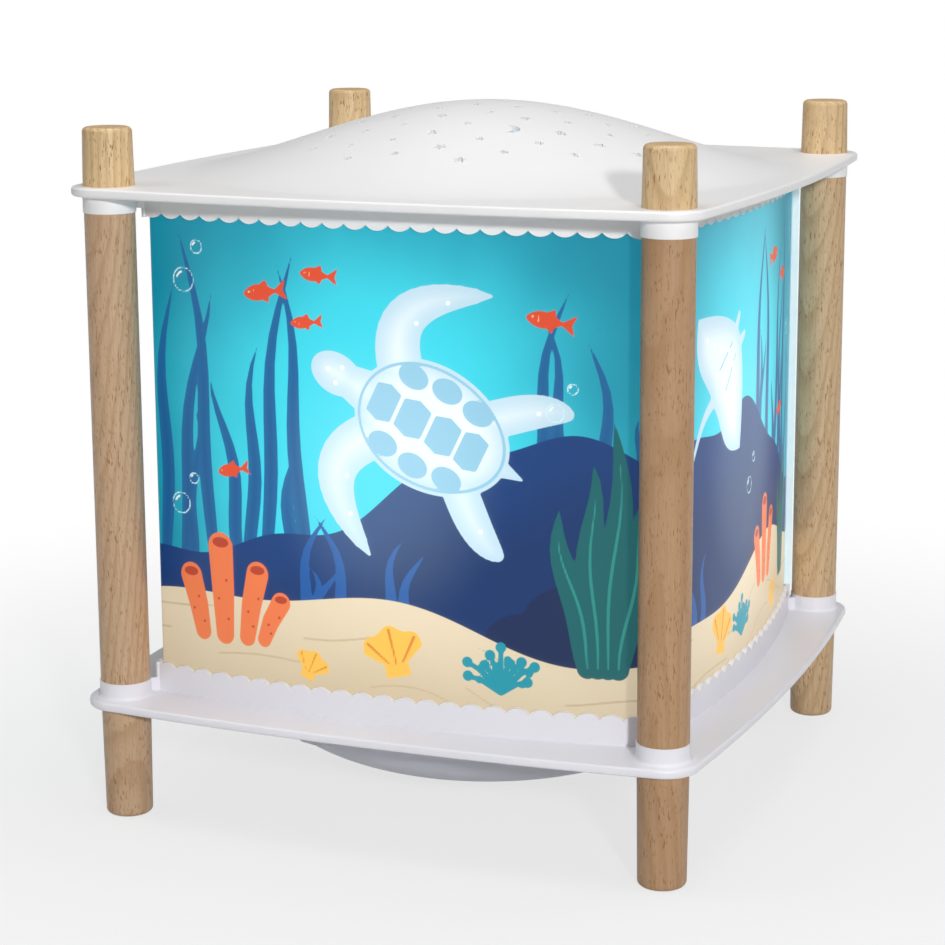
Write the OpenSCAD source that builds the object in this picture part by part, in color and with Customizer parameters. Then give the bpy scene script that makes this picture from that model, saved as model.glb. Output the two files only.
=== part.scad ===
// Square motion lantern: four wooden corner posts carry a white deck and a white domed cover.
// A printed film sleeve stands between them, and a printed drum turns inside it round a lamp.
// Millimetres, +Z up. The origin is on the table, below the middle of the lantern.

/* [Posts] */
// Distance between the axes of neighbouring posts
post_pitch = 172; // [165:1:185]
// Diameter of a post
post_d = 15; // [14:0.1:15.4]
// Length of the part of a post between the deck and the cover
post_l = 142.9; // [135:0.1:155]
// Height of the foot below the deck
foot_h = 34.8; // [34:0.1:45]
// Diameter of a foot where it stands on the table
foot_tip_d = 14.2; // [13:0.1:15]
// Height of the knob above the cover
knob_h = 17.2; // [14:0.1:25]
// Diameter of a knob at its foot
knob_d = 15.2; // [14.5:0.1:16]
// Diameter of a knob at its top
knob_top_d = 14.6; // [13:0.1:15]
// Rounding of the wooden ends
wood_round = 1.5; // [0.5:0.1:2.5]
// Diameter of the threaded studs
stud_d = 4; // [3:0.5:4]
// Depth of a threaded insert in the wood
insert_l = 12; // [8:0.5:13]
// Wall of a threaded insert
insert_wall = 1; // [0.8:0.1:1.5]
// Clearance of a thread in its insert
thread_fit = 0.02; // [0.01:0.01:0.05]

/* [Deck and cover plates] */
// Thickness of both plates
plate_t = 2.8; // [2.4:0.1:3.5]
// Corner radius of a plate, round the post axis
plate_corner_r = 11; // [10:0.1:14]
// How far the middle of a side bulges past its corners
plate_bulge = 4.1; // [2:0.1:6]
// Rounding of the plate edges
rim_round = 0.9; // [0.4:0.1:1.1]
// Height of the collar at each post
collar_h = 5; // [3.5:0.1:6]
// Diameter of the collar at each post
collar_d = 15.6; // [15.5:0.1:17]
// Fillet between a collar and its plate
collar_fillet = 1; // [0.5:0.1:1.5]
// Radial clearance of a stud in its plate
stud_clear = 0.25; // [0.1:0.05:0.5]

/* [Scalloped walls] */
// Half width of the walls at their corners
wall_corner = 79; // [78:0.1:81]
// How far the middle of a wall bulges past its corners
wall_bulge = 7.8; // [5:0.1:9]
// Thickness of a wall
wall_t = 1.5; // [1.2:0.1:2]
// Height of the wall on the deck
deck_wall_h = 9; // [7:0.1:12]
// Height of the skirt under the cover
skirt_h = 7; // [6:0.1:9]
// Number of scallops on a side
scallops = 23; // [15:1:27]
// Depth of the notches between the scallops
scallop_depth = 1.7; // [1:0.1:2]
// Thickness of the web between a collar and the wall corner
web_t = 1.6; // [1.2:0.1:2.5]
// Length of the ribs that hold the film from inside
rib_l = 44; // [20:1:80]
// Height of those ribs
rib_h = 5; // [3:0.1:6]

/* [Film sleeve] */
// Thickness of the printed sleeve
film_t = 0.5; // [0.3:0.1:0.8]
// Clearance of the sleeve in its slot
film_clear = 0.3; // [0.2:0.05:0.5]
// Width of the seam strip that stands out at one corner
seam_w = 2.6; // [1.5:0.1:3]
// Thickness of the seam strip
seam_t = 1.2; // [0.8:0.1:2]

/* [Dome] */
// Diameter of the dome where it meets the plate
dome_d = 189; // [170:1:195]
// Height of the dome above the plate
dome_h = 21; // [15:0.5:26]
// Fullness of the dome: lower is fuller
dome_power = 0.7; // [0.6:0.05:1.2]
// Number of star holes
stars = 84; // [20:1:90]
// Radius of the field of stars
star_field_r = 64; // [40:1:66]
// Width of the large stars
star_big = 4.6; // [3:0.1:5]
// Width of the small stars
star_small = 3.4; // [2:0.1:4]
// Diameter of the crescent moon hole
moon_d = 6.2; // [5:0.1:8]

/* [Base pan] */
// Diameter of the pan under the deck
pan_d = 152; // [150:0.5:158]
// Depth of the pan
pan_depth = 31.5; // [29:0.5:32]
// Roundness of the pan's section
pan_power = 2.3; // [2.1:0.1:2.6]
// Wall of the pan
pan_wall = 2; // [1.6:0.1:2.4]
// Length of the slots round the pan
slot_l = 10; // [6:0.5:12]
// Height of the slots
slot_w = 2; // [1:0.1:3]
// Number of slots in a full turn
slots = 30; // [20:1:32]
// Distance of the slots below the deck
slot_drop = 7; // [6:0.1:8]
// Distance of the pan screws from the middle
pan_screw_r = 62; // [60:0.5:63]
// Diameter of the pan screws
pan_screw_d = 3; // [2.5:0.1:3]

/* [Switch] */
// Direction of the switch pod, from +X
pod_angle = -110; // [-120:1:-105]
// Reach of the pod from the middle
pod_reach = 82.5; // [81:0.5:86]
// Width of the pod
pod_w = 12; // [12:0.5:15]
// Height of the pod below the deck
pod_h = 9.2; // [8.5:0.1:10]
// Travel of the slider
slider_travel = 4; // [2:0.5:4]
// Width of the slider's stem
slider_w = 3; // [2:0.1:3.2]
// Gap round the slider
slider_gap = 0.3; // [0.2:0.05:0.4]

/* [Drum] */
// Diameter of the printed drum
drum_d = 148; // [130:1:152]
// Thickness of the drum's film
drum_film_t = 0.4; // [0.3:0.1:0.6]
// Height of the drum's film
drum_film_h = 126; // [110:1:128]
// Thickness of the turntable
table_t = 2.5; // [2:0.1:3]
// Height of the turntable's underside above the deck
table_lift = 12.4; // [12:0.1:14]
// Thickness of the lip that holds the drum's film
lip_t = 1.5; // [1:0.1:1.8]
// Height of that lip
lip_h = 4.5; // [3:0.5:6]
// Diameter of the turntable's hub
hub_d = 22; // [20:0.5:24]
// Height of the hub
hub_h = 15; // [13:0.5:18]

/* [Column and lamp] */
// Diameter of the journal that the drum turns on
journal_d = 12; // [10:0.5:13]
// Bore of the column
column_bore = 8; // [6:0.5:8.5]
// Diameter of the column's flange
flange_d = 32; // [31:0.5:34]
// Thickness of the column's flange
flange_t = 2.5; // [2:0.1:3]
// Diameter of the shoulder under the hub
shoulder_d = 17; // [16:0.5:18]
// Radial clearance of the bush on the journal
journal_fit = 0.05; // [0.03:0.01:0.1]
// Wall of the bush
bush_wall = 2; // [1.5:0.1:2.5]
// Thickness of the thrust washer
washer_t = 1; // [0.6:0.1:1.5]
// Height of the lamp holder above the deck
lamp_lift = 62.4; // [50:1:80]
// Diameter of the lamp holder
holder_d = 42; // [36:0.5:46]
// Thickness of the circuit boards
board_t = 1.6; // [1:0.1:2]
// Height of the diffuser
diffuser_h = 24; // [20:0.5:32]
// Wall of the diffuser
diffuser_wall = 1.5; // [1:0.1:2]

/* [Drive] */
// Gear module
gear_module = 1; // [1:0.1:1.1]
// Teeth on the drum's wheel
wheel_teeth = 60; // [54:1:64]
// Teeth on the pinion
pinion_teeth = 12; // [12:1:14]
// Tooth width
gear_w = 5; // [4:0.1:5]
// Backlash between the gears
backlash = 0.16; // [0.1:0.01:0.25]
// Diameter of the gear motor
motor_d = 24; // [20:0.5:25]
// Height of the gear motor
motor_h = 16; // [12:0.5:17]
// Diameter of the motor's shaft
shaft_d = 3; // [2:0.1:4]

/* [Electrics] */
// Diameter of the speaker
speaker_d = 40; // [34:0.5:42]
// Diameter of the speaker's magnet
magnet_d = 20; // [16:0.5:22]
// Bore of the power socket
socket_bore = 5.6; // [5.5:0.1:6.5]
// Width and height of the power socket
socket_size = 9; // [8.5:0.1:10]
// Length of the power socket
socket_l = 14; // [12:0.5:16]
// Diameter of the insulated leads
lead_d = 1.2; // [0.8:0.1:1.6]

/* [Hidden] */
$fn = 96;
e = 0.01;

white = [0.95, 0.94, 0.95];
pan_grey = [0.78, 0.79, 0.84];
beech = [0.84, 0.70, 0.52];
pale_beech = [0.88, 0.76, 0.57];
steel = [0.72, 0.73, 0.75];
brass = [0.80, 0.66, 0.34];
sea_blue = [0.10, 0.55, 0.72, 0.85];
drum_blue = [0.25, 0.70, 0.85, 0.7];
board_green = [0.10, 0.40, 0.22];

half = post_pitch / 2;
CORNERS = [[-1, -1], [1, -1], [1, 1], [-1, 1]];

// Heights
deck_z = foot_h;
deck_top = deck_z + plate_t;
post_z = deck_top + collar_h;
post_top = post_z + post_l;
cover_z = post_top + collar_h;
cover_top = cover_z + plate_t;

// Plate outline: small corner arcs round the posts, tangent to four large side arcs
side_q = (half * half - plate_bulge * plate_bulge) / (2 * plate_bulge);
side_r = side_q + plate_corner_r + plate_bulge;
side_c = side_q - half;
tangent_a = atan(half / side_q);

// Wall outline: four arcs that meet at the corners
wall_r = (wall_corner * wall_corner + wall_bulge * wall_bulge) / (2 * wall_bulge);
wall_c = wall_r - wall_corner - wall_bulge;
sleeve_out = wall_r - wall_t - film_clear;
rib_out = sleeve_out - film_t - film_clear;
corner_rib_r = 0.8;
corner_rib_in = 0.4;
// Where two arcs of radius r meet, measured along X
function wall_corner_at(r) = (sqrt(2 * r * r - wall_c * wall_c) - wall_c) / 2;
scallop_pitch = 2 * wall_corner / scallops;
scallop_r = (pow(scallop_pitch / 2, 2) + pow(scallop_depth, 2)) / (2 * scallop_depth);

// Drive
centre_distance = gear_module * (wheel_teeth + pinion_teeth) / 2;
table_z = deck_top + table_lift;
table_top = table_z + table_t;
gear_z = table_z - gear_w;
shoulder_z = gear_z - washer_t;
hub_top = gear_z + hub_h;
lamp_z = deck_top + lamp_lift;
column_boss_t = 4.8;
shaft_hole_r = shaft_d / 2 + 3;
pinion_lap = 0.5;

// Small screws: shank diameter, head diameter, head height
screw = [2.5, 4.6, 1.6];
small_screw = [2, 3.8, 1.3];
pan_head = [5.6, 2];
pan_screw_angles = [-15, 140, 230];
column_screw_r = flange_d / 2 - 4;
motor_screw_y = motor_d / 2 + 3;
gear_screw_r = 26;
board_drop = 4.8;
board_z = deck_z - board_drop;
socket_z = board_z - socket_size / 2;
socket_y = bowl_radius(pan_d / 2, pan_depth, board_drop + socket_size) - socket_l;
board_l = 64;
board_w = 30;
board_lap = 0.8;
board_mid = 6;
board_x = [board_mid - board_l / 2, board_mid + board_l / 2];
board_y = [socket_y + board_lap - board_w, socket_y + board_lap];
hole_in = [6, 7];
board_holes = [for (x = [board_x[0] + hole_in[0], board_x[1] - hole_in[0]]) [x, board_y[1] - hole_in[1]]];
standoff_d = 5.5;
speaker_x = -38;
speaker_drop = 12;
speaker_ring_h = 3;
clip_t = 1;
clip_gap = 0.1;
clip_groove = 0.8;

// A tooth flank is the involute of the base circle; the tooth is symmetric about +X
pressure_angle = 20;
function involute(base_r, r) =
    let (a = acos(min(1, base_r / r))) tan(a) * 180 / PI - a;
function tooth_half(teeth, r, thin) =
    let (pitch_r = gear_module * teeth / 2, base_r = pitch_r * cos(pressure_angle))
    90 / teeth - thin / 2 / pitch_r * 180 / PI
        + involute(base_r, pitch_r) - involute(base_r, max(r, base_r));
function polar(r, a) = [r * cos(a), r * sin(a)];
function gear_points(teeth, thin) =
    let (pitch_r = gear_module * teeth / 2,
         root_r = pitch_r - 1.25 * gear_module,
         tip_r = pitch_r + gear_module,
         flank = [for (i = [0:4]) root_r + (tip_r - root_r) * i / 4])
    [for (t = [0:teeth - 1]) let (a = 360 * t / teeth) each concat(
        [for (r = flank) polar(r, a - tooth_half(teeth, r, thin))],
        [for (i = [4:-1:0]) polar(flank[i], a + tooth_half(teeth, flank[i], thin))])];

// Height of the dome above the plate at radius r
function dome_rise(r) =
    r >= dome_d / 2 ? 0 : dome_h * pow((1 + cos(360 * r / dome_d)) / 2, dome_power);
dome_steps = 36;
dome_radii = [for (i = [0:dome_steps]) dome_d / 2 * i / dome_steps];

// Half profile of a bowl with a super-elliptic section, hanging from z = 0
bowl_steps = 30;
function bowl_points(r, depth) =
    [for (i = [0:bowl_steps]) let (a = 90 * i / bowl_steps)
        [r * pow(cos(a), 2 / pan_power), -depth * pow(sin(a), 2 / pan_power)]];
function bowl_radius(r, depth, drop) =
    r * pow(1 - pow(drop / depth, pan_power), 1 / pan_power);

module at_corners() {
    for (c = CORNERS) translate([c[0] * half, c[1] * half, 0]) children();
}

module ring(r_out, r_in, h) {
    difference() {
        cylinder(r = r_out, h = h);
        translate([0, 0, -1]) cylinder(r = r_in, h = h + 2);
    }
}

module for_sides_circles(c, r) {
    intersection() {
        translate([0, c]) circle(r = r, $fn = 720);
        translate([0, -c]) circle(r = r, $fn = 720);
        translate([c, 0]) circle(r = r, $fn = 720);
        translate([-c, 0]) circle(r = r, $fn = 720);
    }
}

// Half section of a round plate of radius r, whose rounded rim is drawn in a few short steps
rim_steps = 3;
function rim_points(r, z, a0) = [for (i = [0:rim_steps]) let (a = a0 + 90 * i / rim_steps)
    [r - rim_round + rim_round * cos(a), z + rim_round * sin(a)]];
module puck_section(r) {
    polygon(concat([[0, 0]], rim_points(r, rim_round, -90),
        rim_points(r, plate_t - rim_round, 0), [[0, plate_t]]));
}

// A plate with rounded edges, its underside at z = 0: a round plate at each corner, and what four
// large round plates have in common. These are drawn in a little, so that their edges cross those
// of the corners.
edge_in = 0.06;
module side_puck() {
    rotate_extrude($fn = 720) puck_section(side_r - edge_in);
}
module plate() {
    reach = 2 * sqrt(2) * (half + plate_corner_r * (sin(tangent_a) + cos(tangent_a)) / 2);
    at_corners() rotate_extrude() puck_section(plate_corner_r);
    intersection() {
        translate([0, side_c, 0]) side_puck();
        translate([0, -side_c, 0]) side_puck();
        translate([side_c, 0, 0]) side_puck();
        translate([-side_c, 0, 0]) side_puck();
        rotate(45) translate([0, 0, plate_t / 2]) cube([reach, reach, plate_t + 2], center = true);
    }
}

// Area between two parallel wall outlines
module wall_area(r_out, r_in) {
    difference() {
        for_sides_circles(wall_c, r_out);
        for_sides_circles(wall_c, r_in);
    }
}

// The quarter of the wall that faces -Y
module front_quarter() {
    polygon([[0, 0], [-half * 2, -half * 2], [half * 2, -half * 2]]);
}

// A scalloped wall of height h on z = 0, sunk s into its plate
module scalloped_wall(h, s) {
    for (i = [0:3]) rotate(90 * i) intersection() {
        translate([0, 0, -s]) linear_extrude(h + s) intersection() {
            wall_area(wall_r, wall_r - wall_t);
            front_quarter();
        }
        rotate([90, 0, 0]) linear_extrude(2 * half) scallop_profile(h, s);
    }
    for (c = CORNERS) translate([c[0], c[1], 0] * (wall_corner - corner_rib_in) - [0, 0, s])
        cylinder(r = corner_rib_r, h = h + s);
}

// Neighbouring scallops overlap a little above the straight part below them
scallop_lap = 0.5;
module scallop_profile(h, s) {
    translate([-half, -s]) square([2 * half, h + s - scallop_depth - scallop_lap]);
    for (i = [0:scallops - 1])
        translate([(i + 0.5) * scallop_pitch - wall_corner, h - scallop_r]) circle(r = scallop_r);
}

// The ribs that hold the film against a wall
module film_ribs(h, s) {
    for (i = [0:3]) rotate(90 * i) translate([0, 0, -s]) linear_extrude(h + s) intersection() {
        wall_area(rib_out, rib_out - wall_t);
        translate([-rib_l / 2, -2 * half]) square([rib_l, 2 * half]);
    }
}

// A collar with a fillet at its foot, standing on z = 0
module collar() {
    r = collar_d / 2;
    translate([0, 0, -e]) cylinder(r = r, h = collar_h + e);
    rotate_extrude() difference() {
        square([r + collar_fillet, collar_fillet]);
        translate([r + collar_fillet, collar_fillet]) circle(r = collar_fillet);
    }
}

// The web from a collar to the wall's corner, for the corner at [half, half]. It ends a little
// below the collar.
web_drop = 0.8;
module corner_web(h) {
    reach = (half - wall_corner) * sqrt(2) + wall_t;
    translate([half, half, 0]) rotate(225) translate([0, -web_t / 2, -e]) cube([reach, web_t, h + e]);
}

// How deep the fittings are sunk in their plate. In the cover they also reach up to the dome's underside.
root_h = plate_t - 0.5;
rib_in = wall_corner + wall_bulge - wall_r + rib_out - wall_t;
cover_root_h = max(root_h, dome_rise(rib_in) + 0.3);

// What stands on a plate: collars, webs, the scalloped wall and the ribs for the film
module plate_fittings(wall_h, root) {
    at_corners() collar();
    scalloped_wall(wall_h, root);
    film_ribs(rib_h, root);
    for (i = [0:3]) rotate(90 * i) corner_web(collar_h - web_drop);
}

module stud_holes(z) {
    at_corners() translate([0, 0, z - 1]) cylinder(r = stud_d / 2 + stud_clear, h = plate_t + collar_h + 2);
}

module base_deck() color(white) {
    difference() {
        union() {
            translate([0, 0, deck_z]) plate();
            translate([0, 0, deck_top]) plate_fittings(deck_wall_h, root_h);
            translate([0, 0, deck_z - column_boss_t]) cylinder(d = flange_d, h = column_boss_t + e);
            for (a = pan_screw_angles) rotate(a) translate([pan_screw_r, 0, deck_top - e])
                cylinder(r = pan_screw_d / 2 + 2, h = 6);
            for (y = [-motor_screw_y, motor_screw_y]) translate([centre_distance, y, deck_top - e])
                cylinder(d = screw[0] + 3, h = 4);
            for (p = board_holes) translate([p[0], p[1], board_z + board_t])
                cylinder(d = standoff_d, h = deck_z - board_z - board_t + e);
            translate([speaker_x, 0, deck_z - speaker_ring_h])
                ring(magnet_d / 2 + 2, magnet_d / 2 + 0.1, speaker_ring_h + e);
        }
        stud_holes(deck_z);
        translate([0, 0, deck_z - column_boss_t - 1]) cylinder(d = column_bore, h = column_boss_t + plate_t + 2);
        for (a = pan_screw_angles) rotate(a) translate([pan_screw_r, 0, deck_z - 1])
            cylinder(d = pan_screw_d, h = plate_t + 6);
        for (a = [60, 180, 300]) rotate(a) translate([column_screw_r, 0, deck_z - column_boss_t - 1])
            cylinder(d = screw[0], h = column_boss_t + plate_t + 2);
        translate([centre_distance, 0, deck_z - 1]) cylinder(r = shaft_hole_r, h = plate_t + 2);
        for (y = [-motor_screw_y, motor_screw_y]) translate([centre_distance, y, deck_z - 1])
            cylinder(d = screw[0], h = plate_t + 4);
        for (p = board_holes) translate([p[0], p[1], board_z]) cylinder(d = small_screw[0], h = deck_z - board_z);
    }
}

// Solid under the dome, from z = 0 up
module dome_solid() {
    rotate_extrude() polygon(concat([[0, 0]],
        [for (i = [dome_steps:-1:0]) [dome_radii[i], dome_rise(dome_radii[i])]]));
}

// A five-pointed star of width w, with the share of that width between its middle and its inner corners
star_waist = 0.25;
module star(w) {
    polygon([for (i = [0:9]) polar(w * (i % 2 == 0 ? 0.5 : star_waist), 36 * i)]);
}

// The stars lie on a sunflower spiral, and the moon takes the place of one of them
golden_angle = 137.508;
spiral_turn = -1.9;
moon_place = 31;
function star_place(k) = polar(star_field_r * sqrt((k + 0.5) / stars), golden_angle * k + spiral_turn);
module star_holes() {
    for (k = [0:stars - 1]) translate(star_place(k))
        if (k == moon_place) moon_hole();
        else rotate(53 * k) star(k % 3 == 0 ? star_big : star_small);
}

module moon_hole() {
    rotate(200) difference() {
        circle(d = moon_d);
        translate([moon_d * 0.27, 0]) circle(d = moon_d * 0.84);
    }
}

module top_cover() color(white) {
    difference() {
        union() {
            translate([0, 0, cover_z]) difference() {
                union() {
                    plate();
                    translate([0, 0, plate_t - e]) dome_solid();
                }
                translate([0, 0, -e]) dome_solid();
            }
            translate([0, 0, cover_z]) mirror([0, 0, 1]) plate_fittings(skirt_h, cover_root_h);
        }
        stud_holes(post_top);
        translate([0, 0, cover_z - 1]) linear_extrude(dome_h + plate_t + 3) star_holes();
    }
}

// A wooden end: a tapered turned piece with a rounded free end at z = h, and a bore from z = 0
module wooden_end(h, d, tip_d) {
    difference() {
        rotate_extrude() {
            polygon([[0, 0], [d / 2, 0], [tip_d / 2, h - wood_round], [tip_d / 2 - wood_round, h], [0, h]]);
            translate([tip_d / 2 - wood_round, h - wood_round]) intersection() {
                circle(r = wood_round);
                square(wood_round);
            }
        }
        translate([0, 0, -1]) cylinder(r = stud_d / 2 + insert_wall, h = insert_l + 1);
    }
}

module knob(i) color(pale_beech) translate([CORNERS[i][0] * half, CORNERS[i][1] * half, cover_top])
    wooden_end(knob_h, knob_d, knob_top_d);
module foot(i) color(beech) translate([CORNERS[i][0] * half, CORNERS[i][1] * half, foot_h])
    mirror([0, 0, 1]) wooden_end(foot_h, post_d, foot_tip_d);
module post(i) color(beech) translate([CORNERS[i][0] * half, CORNERS[i][1] * half, post_z]) difference() {
    cylinder(d = post_d, h = post_l);
    for (z = [-1, post_l - insert_l]) translate([0, 0, z])
        cylinder(r = stud_d / 2 + insert_wall, h = insert_l + 1);
}

module thread_inserts() color(brass) at_corners()
    for (z = [deck_z - insert_l, post_z, post_top - insert_l, cover_top]) translate([0, 0, z])
        ring(stud_d / 2 + insert_wall, stud_d / 2 + thread_fit, insert_l);
module stud(z0, z1) translate([0, 0, z0]) cylinder(d = stud_d, h = z1 - z0);
module lower_studs() color(steel) at_corners() stud(deck_z - insert_l + 1, post_z + insert_l - 1);
module upper_studs() color(steel) at_corners() stud(post_top - insert_l + 1, cover_top + insert_l - 1);

// Film sleeve
sleeve_z = deck_top;
sleeve_top = cover_z - 1.2;
module film_sleeve() color(sea_blue) translate([0, 0, sleeve_z])
    linear_extrude(sleeve_top - sleeve_z) wall_area(sleeve_out, sleeve_out - film_t);
// The strip stands out at the back right corner, where the two ends of the film are joined
module sleeve_seam_strip() color(white) {
    corner = wall_corner_at(sleeve_out);
    translate([corner, corner, deck_top + deck_wall_h + 0.2]) rotate(45) translate([0.05, -seam_t / 2, 0])
        cube([seam_w, seam_t, cover_z - skirt_h - deck_top - deck_wall_h - 0.4]);
}

// Base pan
module pan_shell() {
    difference() {
        rotate_extrude() polygon(concat([[0, 0]], bowl_points(pan_d / 2, pan_depth)));
        translate([0, 0, e]) rotate_extrude()
            polygon(concat([[0, 1], [pan_d / 2 - pan_wall, 1]],
                bowl_points(pan_d / 2 - pan_wall, pan_depth - pan_wall)));
    }
}
pod_wall = 1.6;
pod_in = bowl_radius(pan_d / 2 - pan_wall, pan_depth - pan_wall, pod_h) - 3;
pod_round = 3;
module pod_area(d) {
    translate([pod_in, -pod_w / 2 + d]) square([pod_reach - pod_round - pod_in, pod_w - 2 * d]);
    translate([pod_in, -pod_w / 2 + pod_round]) square([pod_reach - d - pod_in, pod_w - 2 * pod_round]);
    for (y = [-1, 1]) translate([pod_reach - pod_round, y * (pod_w / 2 - pod_round)]) circle(r = pod_round - d);
}
slider_z = deck_z - pod_h / 2 - 0.3;
slider_h = 2;
slider_slot_w = slider_w + slider_travel + 2 * slider_gap;
head_z = deck_z - 12;
module base_pan() color(pan_grey) {
    difference() {
        union() {
            translate([0, 0, deck_z]) pan_shell();
            rotate(pod_angle) translate([0, 0, deck_z - pod_h]) linear_extrude(pod_h) pod_area(0);
            pan_bosses();
        }
        rotate(pod_angle) translate([0, 0, deck_z - pod_h + pod_wall]) linear_extrude(pod_h) {
            pod_area(pod_wall);
            translate([pod_in - 6, -pod_w / 2 + pod_wall]) square([8, pod_w - 2 * pod_wall]);
        }
        rotate(pod_angle) translate([pod_reach - 4, -slider_slot_w / 2, slider_z - slider_h / 2 - slider_gap])
            cube([6, slider_slot_w, slider_h + 2 * slider_gap]);
        for (a = pan_screw_angles) rotate(a) translate([pan_screw_r, 0, 0]) {
            cylinder(d = pan_head[0] + 0.6, h = head_z);
            cylinder(d = pan_screw_d + 0.4, h = deck_z + 1);
        }
        for (i = [0:slots - 1]) if (slot_is_free(slot_angle(i))) rotate(slot_angle(i))
            translate([pan_d / 2 - 8, -slot_l / 2, deck_z - slot_drop - slot_w / 2]) pan_slot();
        translate([-socket_size / 2 - 0.2, socket_y, socket_z - socket_size / 2 - 0.2])
            cube([socket_size + 0.4, 2 * socket_l, socket_size + 0.4]);
    }
}
// No slot is cut through the pod or the socket
slot_turn = 1.5;
slot_margin = 0.8;
function slot_angle(i) = 360 * (i + 0.5) / slots + slot_turn;
function angle_gap(a, b) = abs((a - b + 540) % 360 - 180);
function slot_reach(w) = (slot_l + w) / pan_d * 180 / PI + slot_margin;
function slot_is_free(a) =
    angle_gap(a, pod_angle) > slot_reach(pod_w) && angle_gap(a, 90) > slot_reach(socket_size);
module pan_slot() {
    translate([0, slot_w / 2, 0]) cube([16, slot_l - slot_w, slot_w]);
    for (y = [slot_w / 2, slot_l - slot_w / 2]) translate([0, y, slot_w / 2]) rotate([0, 90, 0])
        cylinder(d = slot_w, h = 16);
}
// The bosses for the pan screws end inside the pan's wall, and the screw heads lie in recesses from below
module pan_bosses() {
    intersection() {
        for (a = pan_screw_angles) rotate(a) translate([pan_screw_r, 0, deck_z - pan_depth])
            cylinder(r = pan_screw_d / 2 + 3, h = pan_depth);
        translate([0, 0, deck_z]) rotate_extrude()
            polygon(concat([[0, 1], [pan_d / 2 - pan_wall / 2, 1]],
                bowl_points(pan_d / 2 - pan_wall / 2, pan_depth - pan_wall / 2)));
    }
}
module pan_screws() color(steel) for (a = pan_screw_angles) rotate(a) translate([pan_screw_r, 0, 0]) {
    translate([0, 0, head_z - pan_head[1]]) cylinder(d = pan_head[0], h = pan_head[1]);
    translate([0, 0, head_z - e]) cylinder(d = pan_screw_d - 2 * thread_fit, h = deck_top + 5 - head_z);
}

// Column and lamp
holder_t = 3;
lamp_board_z = lamp_z + holder_t;
module centre_column() color(white) difference() {
    union() {
        translate([0, 0, deck_top]) cylinder(d = flange_d, h = flange_t);
        translate([0, 0, deck_top]) cylinder(d = shoulder_d, h = shoulder_z - deck_top);
        translate([0, 0, deck_top]) cylinder(d = journal_d, h = lamp_board_z - deck_top);
    }
    translate([0, 0, deck_top - 1]) cylinder(d = column_bore, h = lamp_lift + 10);
    for (a = [60, 180, 300]) rotate(a) translate([column_screw_r, 0, deck_top - 1])
        cylinder(d = screw[0] + 0.4, h = flange_t + 2);
    translate([0, 0, hub_top + clip_gap]) ring(journal_d, journal_d / 2 - clip_groove, clip_t + 2 * clip_gap);
}
module column_screws() color(steel) for (a = [60, 180, 300]) rotate(a) translate([column_screw_r, 0, 0]) {
    translate([0, 0, deck_top + flange_t]) cylinder(d = screw[1], h = screw[2]);
    translate([0, 0, deck_z - column_boss_t + 0.5])
        cylinder(d = screw[0] - 2 * thread_fit, h = column_boss_t + plate_t + flange_t);
}
module thrust_washer() color(brass) translate([0, 0, shoulder_z])
    ring(shoulder_d / 2, journal_d / 2 + 0.1, washer_t);
module retaining_clip() color(steel) translate([0, 0, hub_top + 2 * clip_gap]) difference() {
    ring(journal_d / 2 + 2, journal_d / 2 - clip_groove + 0.05, clip_t);
    translate([0, -2, -1]) cube([2 * journal_d, 4, clip_t + 2]);
}
// The holder's disc, the groove that takes the diffuser, and the sleeve below that grips the column
groove_in = 1.5;
groove_h = 1;
grip_h = 6;
grip_wall = 2;
module lamp_holder() color(white) translate([0, 0, lamp_z]) {
    difference() {
        cylinder(d = holder_d, h = holder_t);
        translate([0, 0, -1]) cylinder(d = journal_d, h = holder_t + 2);
        translate([0, 0, holder_t - groove_h])
            ring(holder_d / 2 - groove_in, holder_d / 2 - groove_in - diffuser_wall - 0.1, groove_h + 1);
    }
    translate([0, 0, -grip_h]) ring(journal_d / 2 + grip_wall, journal_d / 2, grip_h + e);
}
led_board_in = 5;
led_board_d = holder_d - 2 * led_board_in;
chip_w = 3;
chip_h = 1;
module led_board() color([0.92, 0.93, 0.92]) translate([0, 0, lamp_board_z])
    ring(led_board_d / 2, 2.4, board_t);
module led_chips() color([1, 0.93, 0.62]) translate([0, 0, lamp_board_z + board_t])
    for (i = [0:7]) rotate(45 * i) translate([led_board_d / 2 - chip_w - 1, 0, chip_h / 2])
        cube([chip_w, chip_w, chip_h], center = true);
module light_diffuser() color([1, 0.98, 0.92, 0.6]) translate([0, 0, lamp_board_z - groove_h]) {
    r = diffuser_r;
    h = diffuser_h - r * 0.4;
    difference() {
        rotate_extrude() diffuser_area(r, h);
        translate([0, 0, -e]) rotate_extrude() diffuser_area(r - diffuser_wall, h);
    }
}
diffuser_r = holder_d / 2 - groove_in - 0.05;
diffuser_cap_r = 10;
module diffuser_area(r, h) {
    cap_r = diffuser_cap_r + r - diffuser_r;
    square([r, h]);
    square([r - cap_r, h + cap_r]);
    translate([r - cap_r, h]) intersection() {
        circle(r = cap_r);
        square(cap_r);
    }
}

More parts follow.
